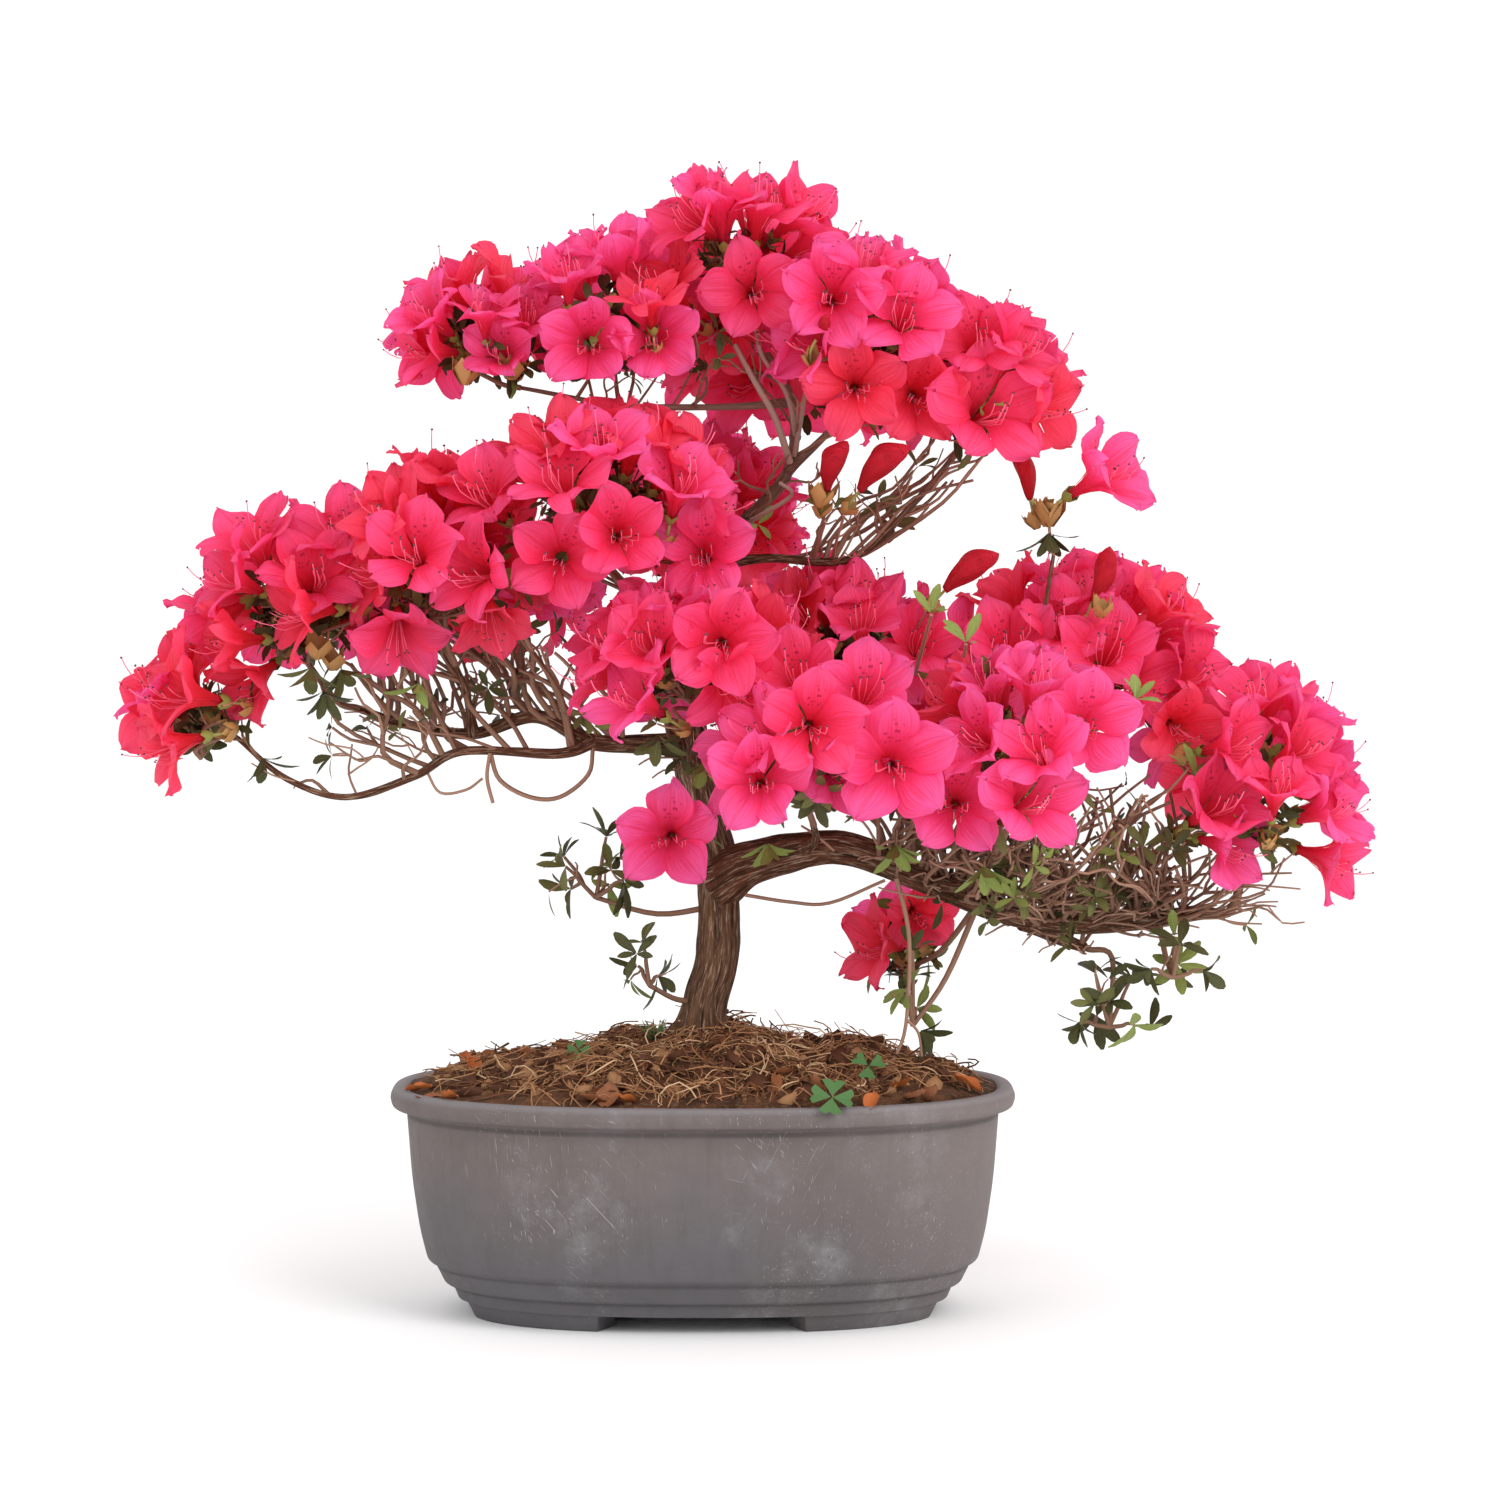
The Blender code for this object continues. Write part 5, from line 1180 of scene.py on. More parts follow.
# the flowers that show most: middle of the face, the way it looks, size and tint
shownFlowers = {
    "pad_far_left": (
     ((-0.2241, -0.0433, 0.2695), (-0.89, -0.4, 0.22), 1.12, "coral"),
     ((-0.2289, -0.0399, 0.2449), (-0.9, -0.36, -0.23), 0.95, "coral")),
    "pad_left": (
     ((-0.1903, -0.034, 0.3361), (-0.3, -0.51, 0.81), 1.0, "rose"),
     ((-0.1538, -0.0345, 0.3378), (-0.32, -0.59, 0.75), 1.05, "rose"),
     ((-0.1718, -0.0583, 0.3025), (-0.91, -0.41, -0.05), 1.0, "coral"),
     ((-0.2023, -0.0414, 0.2905), (-0.91, -0.41, 0.0), 0.9, "coral"),
     ((-0.2023, -0.0401, 0.3179), (-0.83, -0.42, 0.36), 0.95, "rose"),
     ((-0.1923, -0.0337, 0.2709), (-0.55, -0.67, -0.5), 0.9, "coral")),
    "pad_left_centre": (
     ((-0.1188, -0.0843, 0.3291), (-0.15, -0.92, 0.36), 1.0, "rose"),
     ((-0.1255, -0.0634, 0.2909), (0.11, -0.75, -0.65), 0.95, "rose"),
     ((-0.0958, -0.0831, 0.3201), (-0.62, -0.78, 0.1), 1.0, "rose"),
     ((-0.0878, -0.0661, 0.2972), (0.12, -0.58, -0.81), 0.85, "coral"),
     ((-0.0918, -0.0666, 0.3541), (-0.47, -0.62, 0.62), 1.0, "rose")),
    "pad_middle": (
     ((-0.0575, -0.0912, 0.3602), (-0.21, -0.64, 0.74), 1.0, "rose"),
     ((-0.0578, -0.0875, 0.325), (0.0, -1.0, 0.0), 0.95, "rose"),
     ((-0.0329, -0.094, 0.3356), (0.1, -0.99, 0.1), 0.95, "rose"),
     ((-0.0405, -0.0851, 0.3734), (0.0, -0.47, 0.88), 1.0, "pink"),
     ((-0.0077, -0.082, 0.3579), (0.23, -0.57, 0.79), 0.95, "pink"),
     ((0.0004, -0.0698, 0.3284), (-0.1, -0.97, 0.2), 1.0, "pink")),
    "pad_front": (
     ((0.0089, -0.1111, 0.2917), (0.0, -1.0, 0.05), 1.08, "rose"),
     ((-0.0293, -0.1071, 0.2713), (-0.68, -0.52, 0.52), 1.0, "pink")),
    "pad_right_inner": (
     ((0.0243, -0.1339, 0.236), (0.0, -0.99, 0.12), 1.0, "pink"),
     ((0.0451, -0.1376, 0.2586), (0.05, -1.0, 0.05), 1.02, "rose"),
     ((0.0387, -0.1014, 0.2801), (-0.12, -0.7, 0.7), 0.95, "rose"),
     ((0.0672, -0.117, 0.2736), (0.11, -0.8, 0.59), 0.95, "pink"),
     ((0.0773, -0.1335, 0.2432), (0.0, -1.0, 0.1), 1.15, "pink")),
    "spray_low_front": (((-0.0137, -0.0766, 0.2099), (-0.05, -1.0, 0.05), 1.02, "pink"),),
    "pad_right_front": (
     ((0.1034, -0.1165, 0.2262), (-0.05, -0.99, 0.1), 1.03, "pink"),
     ((0.135, -0.1278, 0.2296), (0.42, -0.83, 0.36), 1.03, "pink"),
     ((0.1561, -0.1199, 0.2587), (0.1, -0.97, 0.2), 1.0, "pink"),
     ((0.1367, -0.1314, 0.2499), (-0.23, -0.79, 0.57), 0.95, "pink")),
    "pad_right_top": (
     ((0.1317, -0.0258, 0.2903), (0.11, -0.8, 0.59), 1.03, "rose"),
     ((0.1707, -0.0329, 0.2883), (0.05, -0.76, 0.65), 1.05, "rose"),
     ((0.1995, -0.0092, 0.3072), (0.52, -0.36, 0.78), 0.9, "coral")),
    "pad_far_right": (
     ((0.2141, -0.002, 0.2761), (0.78, -0.52, 0.36), 1.0, "rose"),
     ((0.2032, -0.0348, 0.2532), (0.24, -0.96, -0.12), 0.9, "coral"),
     ((0.2259, -0.0517, 0.2479), (0.79, -0.57, 0.23), 0.9, "rose"),
     ((0.2184, -0.0526, 0.2236), (0.53, -0.69, 0.48), 1.05, "rose"),
     ((0.225, -0.0464, 0.203), (0.75, -0.64, -0.16), 0.9, "pink"),
     ((0.2415, -0.0558, 0.2305), (0.11, -0.44, 0.89), 0.8, "rose"),
     ((0.2688, -0.0399, 0.2204), (0.85, -0.4, 0.35), 0.95, "pink"),
     ((0.274, -0.002, 0.1941), (0.87, -0.41, -0.26), 0.95, "rose")),
    "pad_right_core": (
     ((0.0669, -0.0336, 0.301), (0.0, -0.53, 0.85), 0.85, "rose"),
     ((0.0926, -0.0241, 0.2903), (0.11, -0.89, 0.44), 0.9, "rose")),
    "pad_apex": (
     ((-0.005, -0.0305, 0.4711), (-0.65, -0.54, 0.54), 1.0, "rose"),
     ((0.0085, -0.0291, 0.4779), (-0.05, -0.3, 0.95), 1.0, "pink"),
     ((0.0262, -0.0302, 0.477), (0.2, -0.3, 0.93), 0.95, "rose"),
     ((0.044, -0.0228, 0.4734), (0.67, -0.47, 0.57), 0.95, "rose"),
     ((-0.017, -0.025, 0.4428), (-0.58, -0.52, 0.63), 0.95, "coral"),
     ((0.0211, -0.0401, 0.4385), (0.0, -1.0, 0.1), 0.95, "rose")),
    "pad_upper_right": (
     ((0.0544, -0.0608, 0.4347), (0.0, -1.0, 0.1), 1.05, "pink"),
     ((0.068, -0.0498, 0.4521), (0.15, -0.36, 0.92), 0.95, "pink"),
     ((0.0851, -0.0618, 0.4272), (0.15, -0.9, 0.4), 1.0, "pink"),
     ((0.0644, -0.0596, 0.3966), (0.0, -1.0, 0.0), 0.95, "coral"),
     ((0.0916, -0.0468, 0.393), (0.15, -0.99, -0.05), 0.95, "coral")),
    "pad_upper_far_right": (
     ((0.1218, -0.047, 0.3896), (0.36, -0.88, 0.31), 1.2, "rose"),
     ((0.1155, -0.0381, 0.4193), (0.0, -0.81, 0.59), 0.95, "rose"),
     ((0.1349, -0.0372, 0.4148), (0.65, -0.54, 0.54), 0.9, "rose"),
     ((0.1472, -0.0317, 0.3885), (0.86, -0.5, -0.1), 0.95, "coral")),
    "pad_upper_left": (
     ((-0.1164, -0.034, 0.4296), (-0.59, -0.54, 0.59), 0.85, "pink"),
     ((-0.12, -0.0312, 0.4138), (-0.88, -0.47, 0.1), 0.9, "rose"),
     ((-0.0916, -0.039, 0.4319), (0.0, -0.39, 0.92), 0.8, "pink"),
     ((-0.085, -0.0377, 0.4126), (-0.16, -0.94, 0.31), 0.8, "pink"),
     ((-0.0734, -0.0325, 0.4297), (0.12, -0.58, 0.81), 0.75, "pink")),
    "pad_upper_centre": (
     ((-0.0562, -0.0408, 0.4468), (0.0, -0.35, 0.94), 0.8, "pink"),
     ((-0.0475, -0.0486, 0.4154), (0.0, -1.0, 0.0), 1.0, "pink"),
     ((-0.02, -0.0456, 0.4181), (0.0, -1.0, 0.1), 0.92, "pink"),
     ((-0.0224, -0.0485, 0.4363), (-0.11, -0.44, 0.89), 0.8, "coral"),
     ((0.0083, -0.01, 0.4208), (0.11, -0.97, -0.22), 0.9, "coral")),
    "spray_lone_flower": (((0.1733, -0.0339, 0.3623), (0.74, -0.5, 0.45), 1.08, "pink"),),
    "spray_under_bough": (
     ((0.0716, 0.0116, 0.1575), (-0.86, -0.5, 0.1), 0.92, "coral"),
     ((0.0952, 0.0148, 0.1703), (0.25, -0.97, -0.05), 0.85, "coral")),
}
# closed buds: foot, tip and which of the shapes
shownBuds = (
    ((0.1028, -0.03, 0.3115), (0.1258, -0.034, 0.327), 0),
    ((0.1662, -0.02, 0.3065), (0.1735, -0.022, 0.3302), 3),
    ((0.14, -0.014, 0.35), (0.13, -0.018, 0.377), 1),
    ((0.0528, -0.04, 0.3535), (0.061, -0.052, 0.374), 2),
    ((0.0665, -0.04, 0.3535), (0.087, -0.05, 0.372), 2),
    ((0.048, -0.06, 0.416), (0.052, -0.068, 0.426), 3),
)


def frameOf(ahead, up):
    # the turn that takes local Z ahead and local Y as near up as it can be
    up = up - ahead * up.dot(ahead)
    if up.length < 0.05:
        up = ahead.orthogonal()
    up.normalize()
    return Matrix((up.cross(ahead), up, ahead)).transposed()


def addSite(kind, spot, turn, size, rng):
    sites[kind].append((spot, turn.to_euler(), size, rng.randrange(1000)))


def addFlower(tint, foot, ahead, size, rng):
    up = Vector((rng.uniform(-0.35, 0.35), rng.uniform(-0.35, 0.35), 1.0))
    addSite(tint, foot, frameOf(ahead, up), size, rng)
    flowerFaces.append((foot + ahead * finer["flowerReach"] * size, ahead))


def inFunnel(point, face, ahead):
    # the point is in, or just over, the hollow of the flower with that face
    along = (point - face).dot(ahead)
    across = (point - face - ahead * along).length
    return openCone["back"] < along < openCone["front"] and across < openCone["hollow"]


def crosses(face, ahead, other, otherAhead):
    # the petals of the first flower, which spread like a wide cone, cut the open tube of the other
    for depth in openCone["depths"]:
        offset = other - otherAhead * depth - face
        along = offset.dot(ahead)
        across = (offset - ahead * along).length
        cone = openCone["slope"] * across - openCone["drop"]
        if across < openCone["reach"] and abs(along - cone) < openCone["thick"]:
            return True
    return False


def isClear(face, ahead, pad, pads):
    # no other flower is in the way of this one or has it in its own, and no other mass has the place
    for other, otherAhead in flowerFaces:
        if (other - face).length < finer["apart"]:
            return False
        if inFunnel(face, other, otherAhead) or inFunnel(other, face, ahead):
            return False
        if crosses(face, ahead, other, otherAhead) or crosses(other, otherAhead, face, ahead):
            return False
    return all(mate is pad or padShare(face, mate) > finer["otherMass"] for mate in pads)


def addLeaf(kind, spot, lean, ahead, size, rng, pad=None):
    tipPoint = spot + lean * finer["leafAhead"] * size
    if pad and padShare(tipPoint, pad) > finer["leafReach"]:
        return
    side = lean.cross(ahead)
    if side.length < 0.05:
        side = lean.orthogonal()
    side.normalize()
    face = side.cross(lean)
    addSite(kind, spot, Matrix((side, lean, face)).transposed(), size, rng)


def addRosette(spot, ahead, count, rng, kind, pad=None, wide="atFlower", size=1.0):
    turn = rng.uniform(0, 2 * pi)
    across = ahead.orthogonal().normalized()
    for leaf in range(count):
        out = across.copy()
        out.rotate(Matrix.Rotation(turn + leaf * 2.39 + rng.uniform(-0.3, 0.3), 3, ahead))
        angle = rng.uniform(*leanOf[wide])
        lean = (ahead * cos(angle) + out * sin(angle)).normalized()
        small = rng.uniform(*finer["leafSize"]) * size * (0.8 + 0.2 * sin(angle))
        addLeaf(kind, spot + lean * 0.0006, lean, ahead, small, rng, pad)


def leafKind(rng, young=0.1):
    pick = rng.random()
    return "leafYoung" if pick < young else "leafOlive" if pick < 0.45 else "leafDark"


def addRun(kind, points, first, last, steps=4):
    path = smoothPath(points, steps)
    runs[kind].append((path, taper(len(path), first, last)))
    return path


def wavyTo(start, end, rng, wave):
    # a slightly crooked way between two points
    span = (end - start).length
    points = [start]
    for share in (0.33, 0.66):
        shift = anyShift(rng) * wave * span
        points.append(start.lerp(end, share) + shift)
    return points + [end]


def addStalk(end, foot, ahead, rng):
    # the green stalk from the golden bud scales up to the flower
    sag = anyShift(rng) * 0.0012
    path = smoothPath([end, end.lerp(foot, 0.5) + sag, foot + ahead * 0.0006], 2)
    runs["stalk"].append((path, taper(len(path), *finer["stalkRadii"])))


def forkFrom(leaders, hub, spot, end, ahead):
    # the plant's rule: the first tips are leaders and later ones fork from the nearest
    if len(leaders) < rule["leaders"]:
        joint = hub.lerp(spot, rule["jointReach"])
        leaders.append({"joint": joint, "forks": 0})
        return [hub] + bendTo(joint, end, ahead)
    leader = min(leaders, key=lambda other: (other["joint"] - spot).length)
    start = hub.lerp(leader["joint"], max(0.3, 1.0 - rule["forkStep"] * leader["forks"]))
    leader["forks"] += 1
    return bendTo(start, end, ahead)


def inSky(spot):
    # the masses in front may stand before the open sky, those behind it may not
    return spot.y > 0.02 and any(
        low < spot.x < high and bottom < spot.z < top for low, high, bottom, top in openSky)


def isBare(pad, way):
    side, cut = bareSides.get(pad["name"], ((0.0, 0.0, -1.0), 2.0))
    return way.z < lowerFlowers.get(pad["name"], finer["lowestFlower"]) or way.dot(Vector(side)) > cut


def growPad(pad, pads):
    rng = random.Random(5000 + pad["seed"])
    tips = findTips(pad, pads, tipCount(pad))
    stem, radius = stemOf(pad)
    if pad["name"] not in drawnApart:
        addRun("twig", stem, radius * 0.8, radius * 0.6, 5)
    leaders = []
    for place, way, size, tint in shownFlowers.get(pad["name"], ()):
        ahead = Vector(way).normalized()
        foot = Vector(place) - ahead * finer["flowerReach"] * size
        tips.append({"spot": foot + ahead * finer["flowerBack"], "ahead": ahead, "way": ahead,
            "shown": (tint, size, foot)})
    for tip in sorted(tips, key=lambda one: "shown" not in one):
        growTip(tip, pad, pads, stem[-1], leaders, rng)
    if len(tips) > 9:
        growDeeper(pad, pads, rng)
    return len(tips)


def growTip(tip, pad, pads, hub, leaders, rng):
    # the twig to one tip, then a flower, a bud or leaves at its end, and side twigs
    apart, shown = pad["name"] in drawnApart, "shown" in tip
    ahead, spot = tip["ahead"], tip["spot"]
    foot = tip["shown"][2] if shown else spot - ahead * finer["flowerBack"]
    bare = not shown and (isBare(pad, tip["way"]) or inSky(foot))
    if bare and pad["blossom"] and (apart or rng.random() < finer["bareGone"]):
        return
    end = foot - ahead * finer["stalk"] if pad["blossom"] else spot
    path = forkFrom(leaders, hub, spot, end, ahead)
    if not apart:
        path = addRun("twig", path, *finer["twigRadii"])
    clear = not bare and isClear(foot + ahead * finer["flowerReach"], ahead, pad, pads)
    if pad["blossom"] and (shown or clear):
        tint = pad["tint"] if rng.random() < finer["ownTint"] else rng.choice(openTints)
        size = rng.uniform(*finer["flowerSize"])
        if shown:
            tint, size = tip["shown"][:2]
        addFlower(tint, foot, ahead, size, rng)
        addStalk(end, foot, ahead, rng)
        addSite("scale", end, frameOf(ahead, upright), rng.uniform(*finer["scaleSize"]), rng)
        if apart:
            return
        count = rng.randint(*finer["baseLeaves"])
        addRosette(end, ahead, count, rng, leafKind(rng, finer["youngShare"]), pad)
    elif pad["blossom"]:
        if rng.random() < finer["budShare"] and tip["way"].z > 0:
            addSite("bud", end, frameOf(ahead, upright), rng.uniform(*finer["budSize"]), rng)
        if rng.random() < finer["openShare"]:
            count = rng.randint(*finer["rosette"])
            addRosette(end, ahead, count, rng, leafKind(rng, finer["youngShare"]), pad, "atEnd")
    else:
        count = rng.randint(*finer["endLeaves"])
        addRosette(end, ahead, count, rng, leafKind(rng, finer["youngShare"]), pad, "atEnd")
    growSides(path, ahead, pad, rng)


def growSides(path, ahead, pad, rng):
    # short side twigs with their own rosettes, inside the mass and clear of the limbs
    for _ in range(rng.randint(*finer["sideTwigs"])):
        start = path[rng.randrange(len(path) // 3, len(path))]
        out = (anyShift(rng) + ahead * 0.6 + upright * 0.2).normalized()
        goal = start + out * rng.uniform(*finer["sideLength"])
        if padShare(goal, pad) > 0.98 or limbRoom(goal) < 0.002:
            continue
        addRun("young", wavyTo(start, goal, rng, finer["sideWave"]), *finer["sideRadii"], 2)
        if not pad["blossom"] and rng.random() < finer["sideBare"]:
            continue
        addRosette(goal, out, rng.randint(*finer["rosette"]), rng, leafKind(rng), pad, "atSide",
            finer["sideLeaf"])


def growDeeper(pad, pads, rng):
    # a second layer of flowers, deeper in, closes the mass where the first leaves it open
    for _ in range(finer["deeper"]):
        rise, turn = rng.uniform(-0.25, 1.0), rng.uniform(0, 2 * pi)
        flat = sqrt(1 - rise * rise)
        way = Vector((flat * cos(turn), flat * sin(turn), rise))
        inside = rng.uniform(*finer["deeperShare"])
        face = pad["centre"] + way * pad["half"] * inside
        tilt = anyShift(rng) * finer["deeperTilt"]
        out = Vector(way[axis] / pad["half"][axis] for axis in range(3)).normalized()
        ahead = (out + tilt).normalized()
        if isBare(pad, way) or inSky(face) or not isClear(face, ahead, pad, pads):
            continue
        foot = face - ahead * finer["flowerReach"]
        tint = rng.choice((pad["tint"], pad["tint"], "rose"))
        addFlower(tint, foot, ahead, rng.uniform(*finer["deeperSize"]), rng)
        addStalk(foot - ahead * finer["stalk"] * 0.7, foot, ahead, rng)


# thin twigs that rise from a bough into the masses above it:
# carriers, stretch along them, lean, spread, how many, radius, share of them with leaves
thickets = (
    (("bough_left",), (0.22, 0.96), (-0.02, -0.006, 0.036), (0.028, 0.026, 0.012), 17, 0.0017, 0.2),
    (("bough_left_low",), (0.1, 0.56), (-0.026, 0.004, 0.04), (0.026, 0.02, 0.012), 10, 0.0015, 0.2),
    (("bough_left", "bough_left_low"), (0.25, 0.8), (-0.012, -0.006, 0.014), (0.03, 0.018, 0.014), 14,
     0.0008, 0.4),
    (("bough_left_low",), (0.86, 1.0), (-0.012, 0.0, 0.006), (0.01, 0.01, 0.012), 4, 0.0008, 0.6),
    (("bough_left_mid", "bough_left_rear", "bough_middle_left"), (0.2, 1.0), (-0.01, 0.0, 0.022),
     (0.022, 0.022, 0.014), 14, 0.0009, 0.2),
    (("bough_right",), (0.4, 0.95), (0.004, -0.012, 0.036), (0.034, 0.034, 0.02), 96, 0.0014, 0.08),
    (("bough_right",), (0.45, 0.98), (0.014, -0.016, 0.014), (0.034, 0.024, 0.016), 66, 0.0009, 0.14),
    (("bough_right_front", "bough_right_top", "bough_right_low"), (0.1, 1.0), (0.01, -0.006, 0.016),
     (0.026, 0.022, 0.018), 34, 0.001, 0.25),
    (("bough_upper_right",), (0.25, 0.62), (0.046, -0.004, 0.042), (0.01, 0.014, 0.01), 7, 0.0013, 0.0),
    (("bough_upper_right", "bough_upper_left", "leader"), (0.35, 0.95), (0.004, -0.01, 0.022),
     (0.022, 0.022, 0.014), 24, 0.0008, 0.3),
    (("trunk", "leader"), (0.55, 0.98), (0.0, -0.02, 0.02), (0.03, 0.02, 0.02), 16, 0.0009, 0.3),
)


def growThicket(number, carriers, stretch, lean, spreadOut, count, radius, leafy):
    rng = random.Random(7000 + number)
    for _ in range(count):
        path = limbs[rng.choice(carriers)]["fine"]
        start = path[int(rng.uniform(*stretch) * (len(path) - 1))]
        goal = start + Vector(lean[axis] + rng.uniform(-1, 1) * spreadOut[axis] for axis in range(3))
        way = addRun("twig", wavyTo(start, goal, rng, 0.14), radius * rng.uniform(0.7, 1.2), radius * 0.5, 3)
        for _ in range(2):
            fork = way[rng.randrange(len(way) // 3, len(way) - 1)]
            end = fork + (goal - start) * rng.uniform(0.25, 0.5) + Vector(
                rng.uniform(-1, 1) * spreadOut[axis] * 0.5 for axis in range(3))
            addRun("young", wavyTo(fork, end, rng, 0.1), radius * 0.6, radius * 0.4, 2)
            if rng.random() < leafy:
                addRosette(end, (end - fork).normalized(), rng.randint(3, 5), rng, leafKind(rng), None,
                    "atSide", 0.75)


# single twigs that hang or arch away from the rest: kind, radius at foot and tip, points
looseTwigs = (
    ("young", 0.0011, 0.0009, ((-0.0909, -0.016, 0.2422), (-0.0868, -0.014, 0.2301),
     (-0.0741, -0.012, 0.2227), (-0.0613, -0.01, 0.2226), (-0.0493, -0.008, 0.232),
     (-0.0472, -0.006, 0.2435))),
    ("young", 0.0011, 0.001, ((-0.0909, -0.016, 0.2422), (-0.0921, -0.018, 0.2312),
     (-0.0895, -0.02, 0.2206))),
    ("young", 0.0007, 0.0006, ((-0.118, -0.017, 0.234), (-0.112, -0.02, 0.225), (-0.101, -0.02, 0.2262),
     (-0.094, -0.018, 0.231))),
    ("young", 0.0011, 0.0007, ((0.0824, -0.03, 0.189), (0.0858, -0.0296, 0.1768), (0.088, -0.0292, 0.1635),
     (0.088, -0.0288, 0.1439), (0.0859, -0.0284, 0.122), (0.0796, -0.028, 0.1079))),
    ("young", 0.0007, 0.0005, ((0.0868, -0.0286, 0.129), (0.092, -0.029, 0.123), (0.0935, -0.029, 0.113))),
    ("young", 0.0008, 0.0007, ((0.0182, -0.012, 0.1806), (0.0374, -0.0147, 0.1778),
     (0.0545, -0.0173, 0.1776), (0.078, -0.02, 0.1875))),
    ("young", 0.0007, 0.0005, ((0.056, -0.03, 0.201), (0.048, -0.036, 0.208), (0.042, -0.04, 0.212))),
    ("grey", 0.0017, 0.0012, ((0.0375, -0.004, 0.366), (0.031, -0.012, 0.385), (0.0225, -0.016, 0.4),
     (0.0137, -0.018, 0.416))),
    ("grey", 0.0013, 0.001, ((0.04, -0.002, 0.378), (0.036, -0.014, 0.395), (0.0255, -0.02, 0.411),
     (0.023, -0.02, 0.422))),
    ("grey", 0.0012, 0.0009, ((0.0395, 0.0, 0.369), (0.043, -0.01, 0.39), (0.045, -0.016, 0.403),
     (0.043, -0.02, 0.424))),
    ("grey", 0.0012, 0.0008, ((0.0181, 0.008, 0.34), (0.026, -0.01, 0.344), (0.038, -0.02, 0.352),
     (0.033, -0.026, 0.357))),
    ("young", 0.0008, 0.0006, ((0.048, -0.004, 0.325), (0.05, -0.02, 0.333), (0.0522, -0.034, 0.3405))),
    ("young", 0.0008, 0.0006, ((0.056, -0.004, 0.325), (0.057, -0.022, 0.332), (0.06, -0.038, 0.343))),
    ("young", 0.0008, 0.0006, ((0.088, -0.006, 0.29), (0.092, -0.018, 0.296), (0.0955, -0.026, 0.303))),
    ("young", 0.001, 0.0008, ((0.108, -0.046, 0.26), (0.1085, -0.064, 0.276), (0.1093, -0.0815, 0.2895))),
    ("young", 0.001, 0.0008, ((0.09, -0.04, 0.276), (0.093, -0.058, 0.29), (0.0954, -0.0735, 0.3015))),
    ("young", 0.001, 0.0008, ((0.17, -0.06, 0.238), (0.175, -0.084, 0.252), (0.1772, -0.1035, 0.2667))),
    ("young", 0.0009, 0.0008, ((0.15, -0.014, 0.326), (0.1485, -0.015, 0.334), (0.1478, -0.016, 0.342))),
    ("stalk", 0.0008, 0.0008, ((0.1478, -0.016, 0.343), (0.144, -0.015, 0.347), (0.14, -0.014, 0.35))),
    ("stalk", 0.0008, 0.0008, ((0.1478, -0.016, 0.343), (0.151, -0.019, 0.348), (0.156, -0.022, 0.352))),
)
# leaf rosettes seen alone: place, the way they point, how many leaves, kind
looseRosettes = (
    ((0.1478, -0.016, 0.336), (0.05, -0.1, -1.0), 6, "leafDark"),
    ((0.0925, -0.029, 0.124), (0.6, -0.2, -0.5), 5, "leafDark"),
    ((0.0796, -0.028, 0.111), (-0.4, 0.0, -0.8), 3, "leafOlive"),
    ((-0.188, -0.02, 0.24), (0.2, -0.2, -1.0), 4, "leafDark"),
    ((0.1093, -0.082, 0.29), (0.1, -0.6, 0.8), 3, "leafYoung"),
    ((0.1772, -0.104, 0.2672), (0.3, -0.5, 0.8), 3, "leafYoung"),
    ((0.0954, -0.074, 0.302), (-0.2, -0.5, 0.9), 2, "leafYoung"),
    ((0.118, -0.082, 0.274), (0.4, -0.7, 0.4), 2, "leafOlive"),
    ((0.208, -0.044, 0.232), (0.1, -0.3, 1.0), 4, "leafYoung"),
    ((0.229, -0.044, 0.209), (0.4, -0.3, 0.8), 3, "leafYoung"),
    ((0.121, -0.09, 0.252), (0.0, -0.5, 0.8), 2, "leafOlive"),
    ((0.0275, -0.06, 0.206), (0.1, -0.4, -0.9), 5, "leafYoung"),
    ((0.0806, -0.07, 0.206), (0.0, -0.4, -0.9), 6, "leafYoung"),
    ((0.117, -0.075, 0.1975), (0.1, -0.4, -0.9), 6, "leafYoung"),
    ((-0.165, -0.04, 0.279), (-0.1, -0.3, -0.9), 5, "leafOlive"),
    ((-0.16, -0.036, 0.269), (0.1, -0.3, -0.9), 6, "leafDark"),
    ((-0.1535, -0.03, 0.278), (0.4, -0.3, -0.7), 5, "leafOlive"),
    ((-0.118, -0.056, 0.273), (0.0, -0.4, -0.9), 4, "leafYoung"),
    ((0.001, -0.05, 0.24), (-0.1, -0.4, -0.9), 5, "leafYoung"),
    ((-0.019, -0.02, 0.25), (-0.2, -0.4, -0.8), 5, "leafOlive"),
)
# golden bud scales seen alone: place and size
looseScales = (
    ((-0.162, -0.042, 0.284), 1.5), ((-0.156, -0.036, 0.279), 1.3), ((0.05, -0.038, 0.348), 1.5),
    ((0.001, -0.05, 0.244), 1.3), ((0.169, -0.03, 0.301), 1.2), ((-0.1, -0.03, 0.4), 1.6),
    ((-0.081, -0.03, 0.402), 1.4),
)


budStalk = {"down": 0.009, "shift": Vector((0, 0.004, -0.003)), "scale": 1.1}
loneScales = Vector((0.1478, -0.016, 0.34))   # the foot of the flower that stands alone


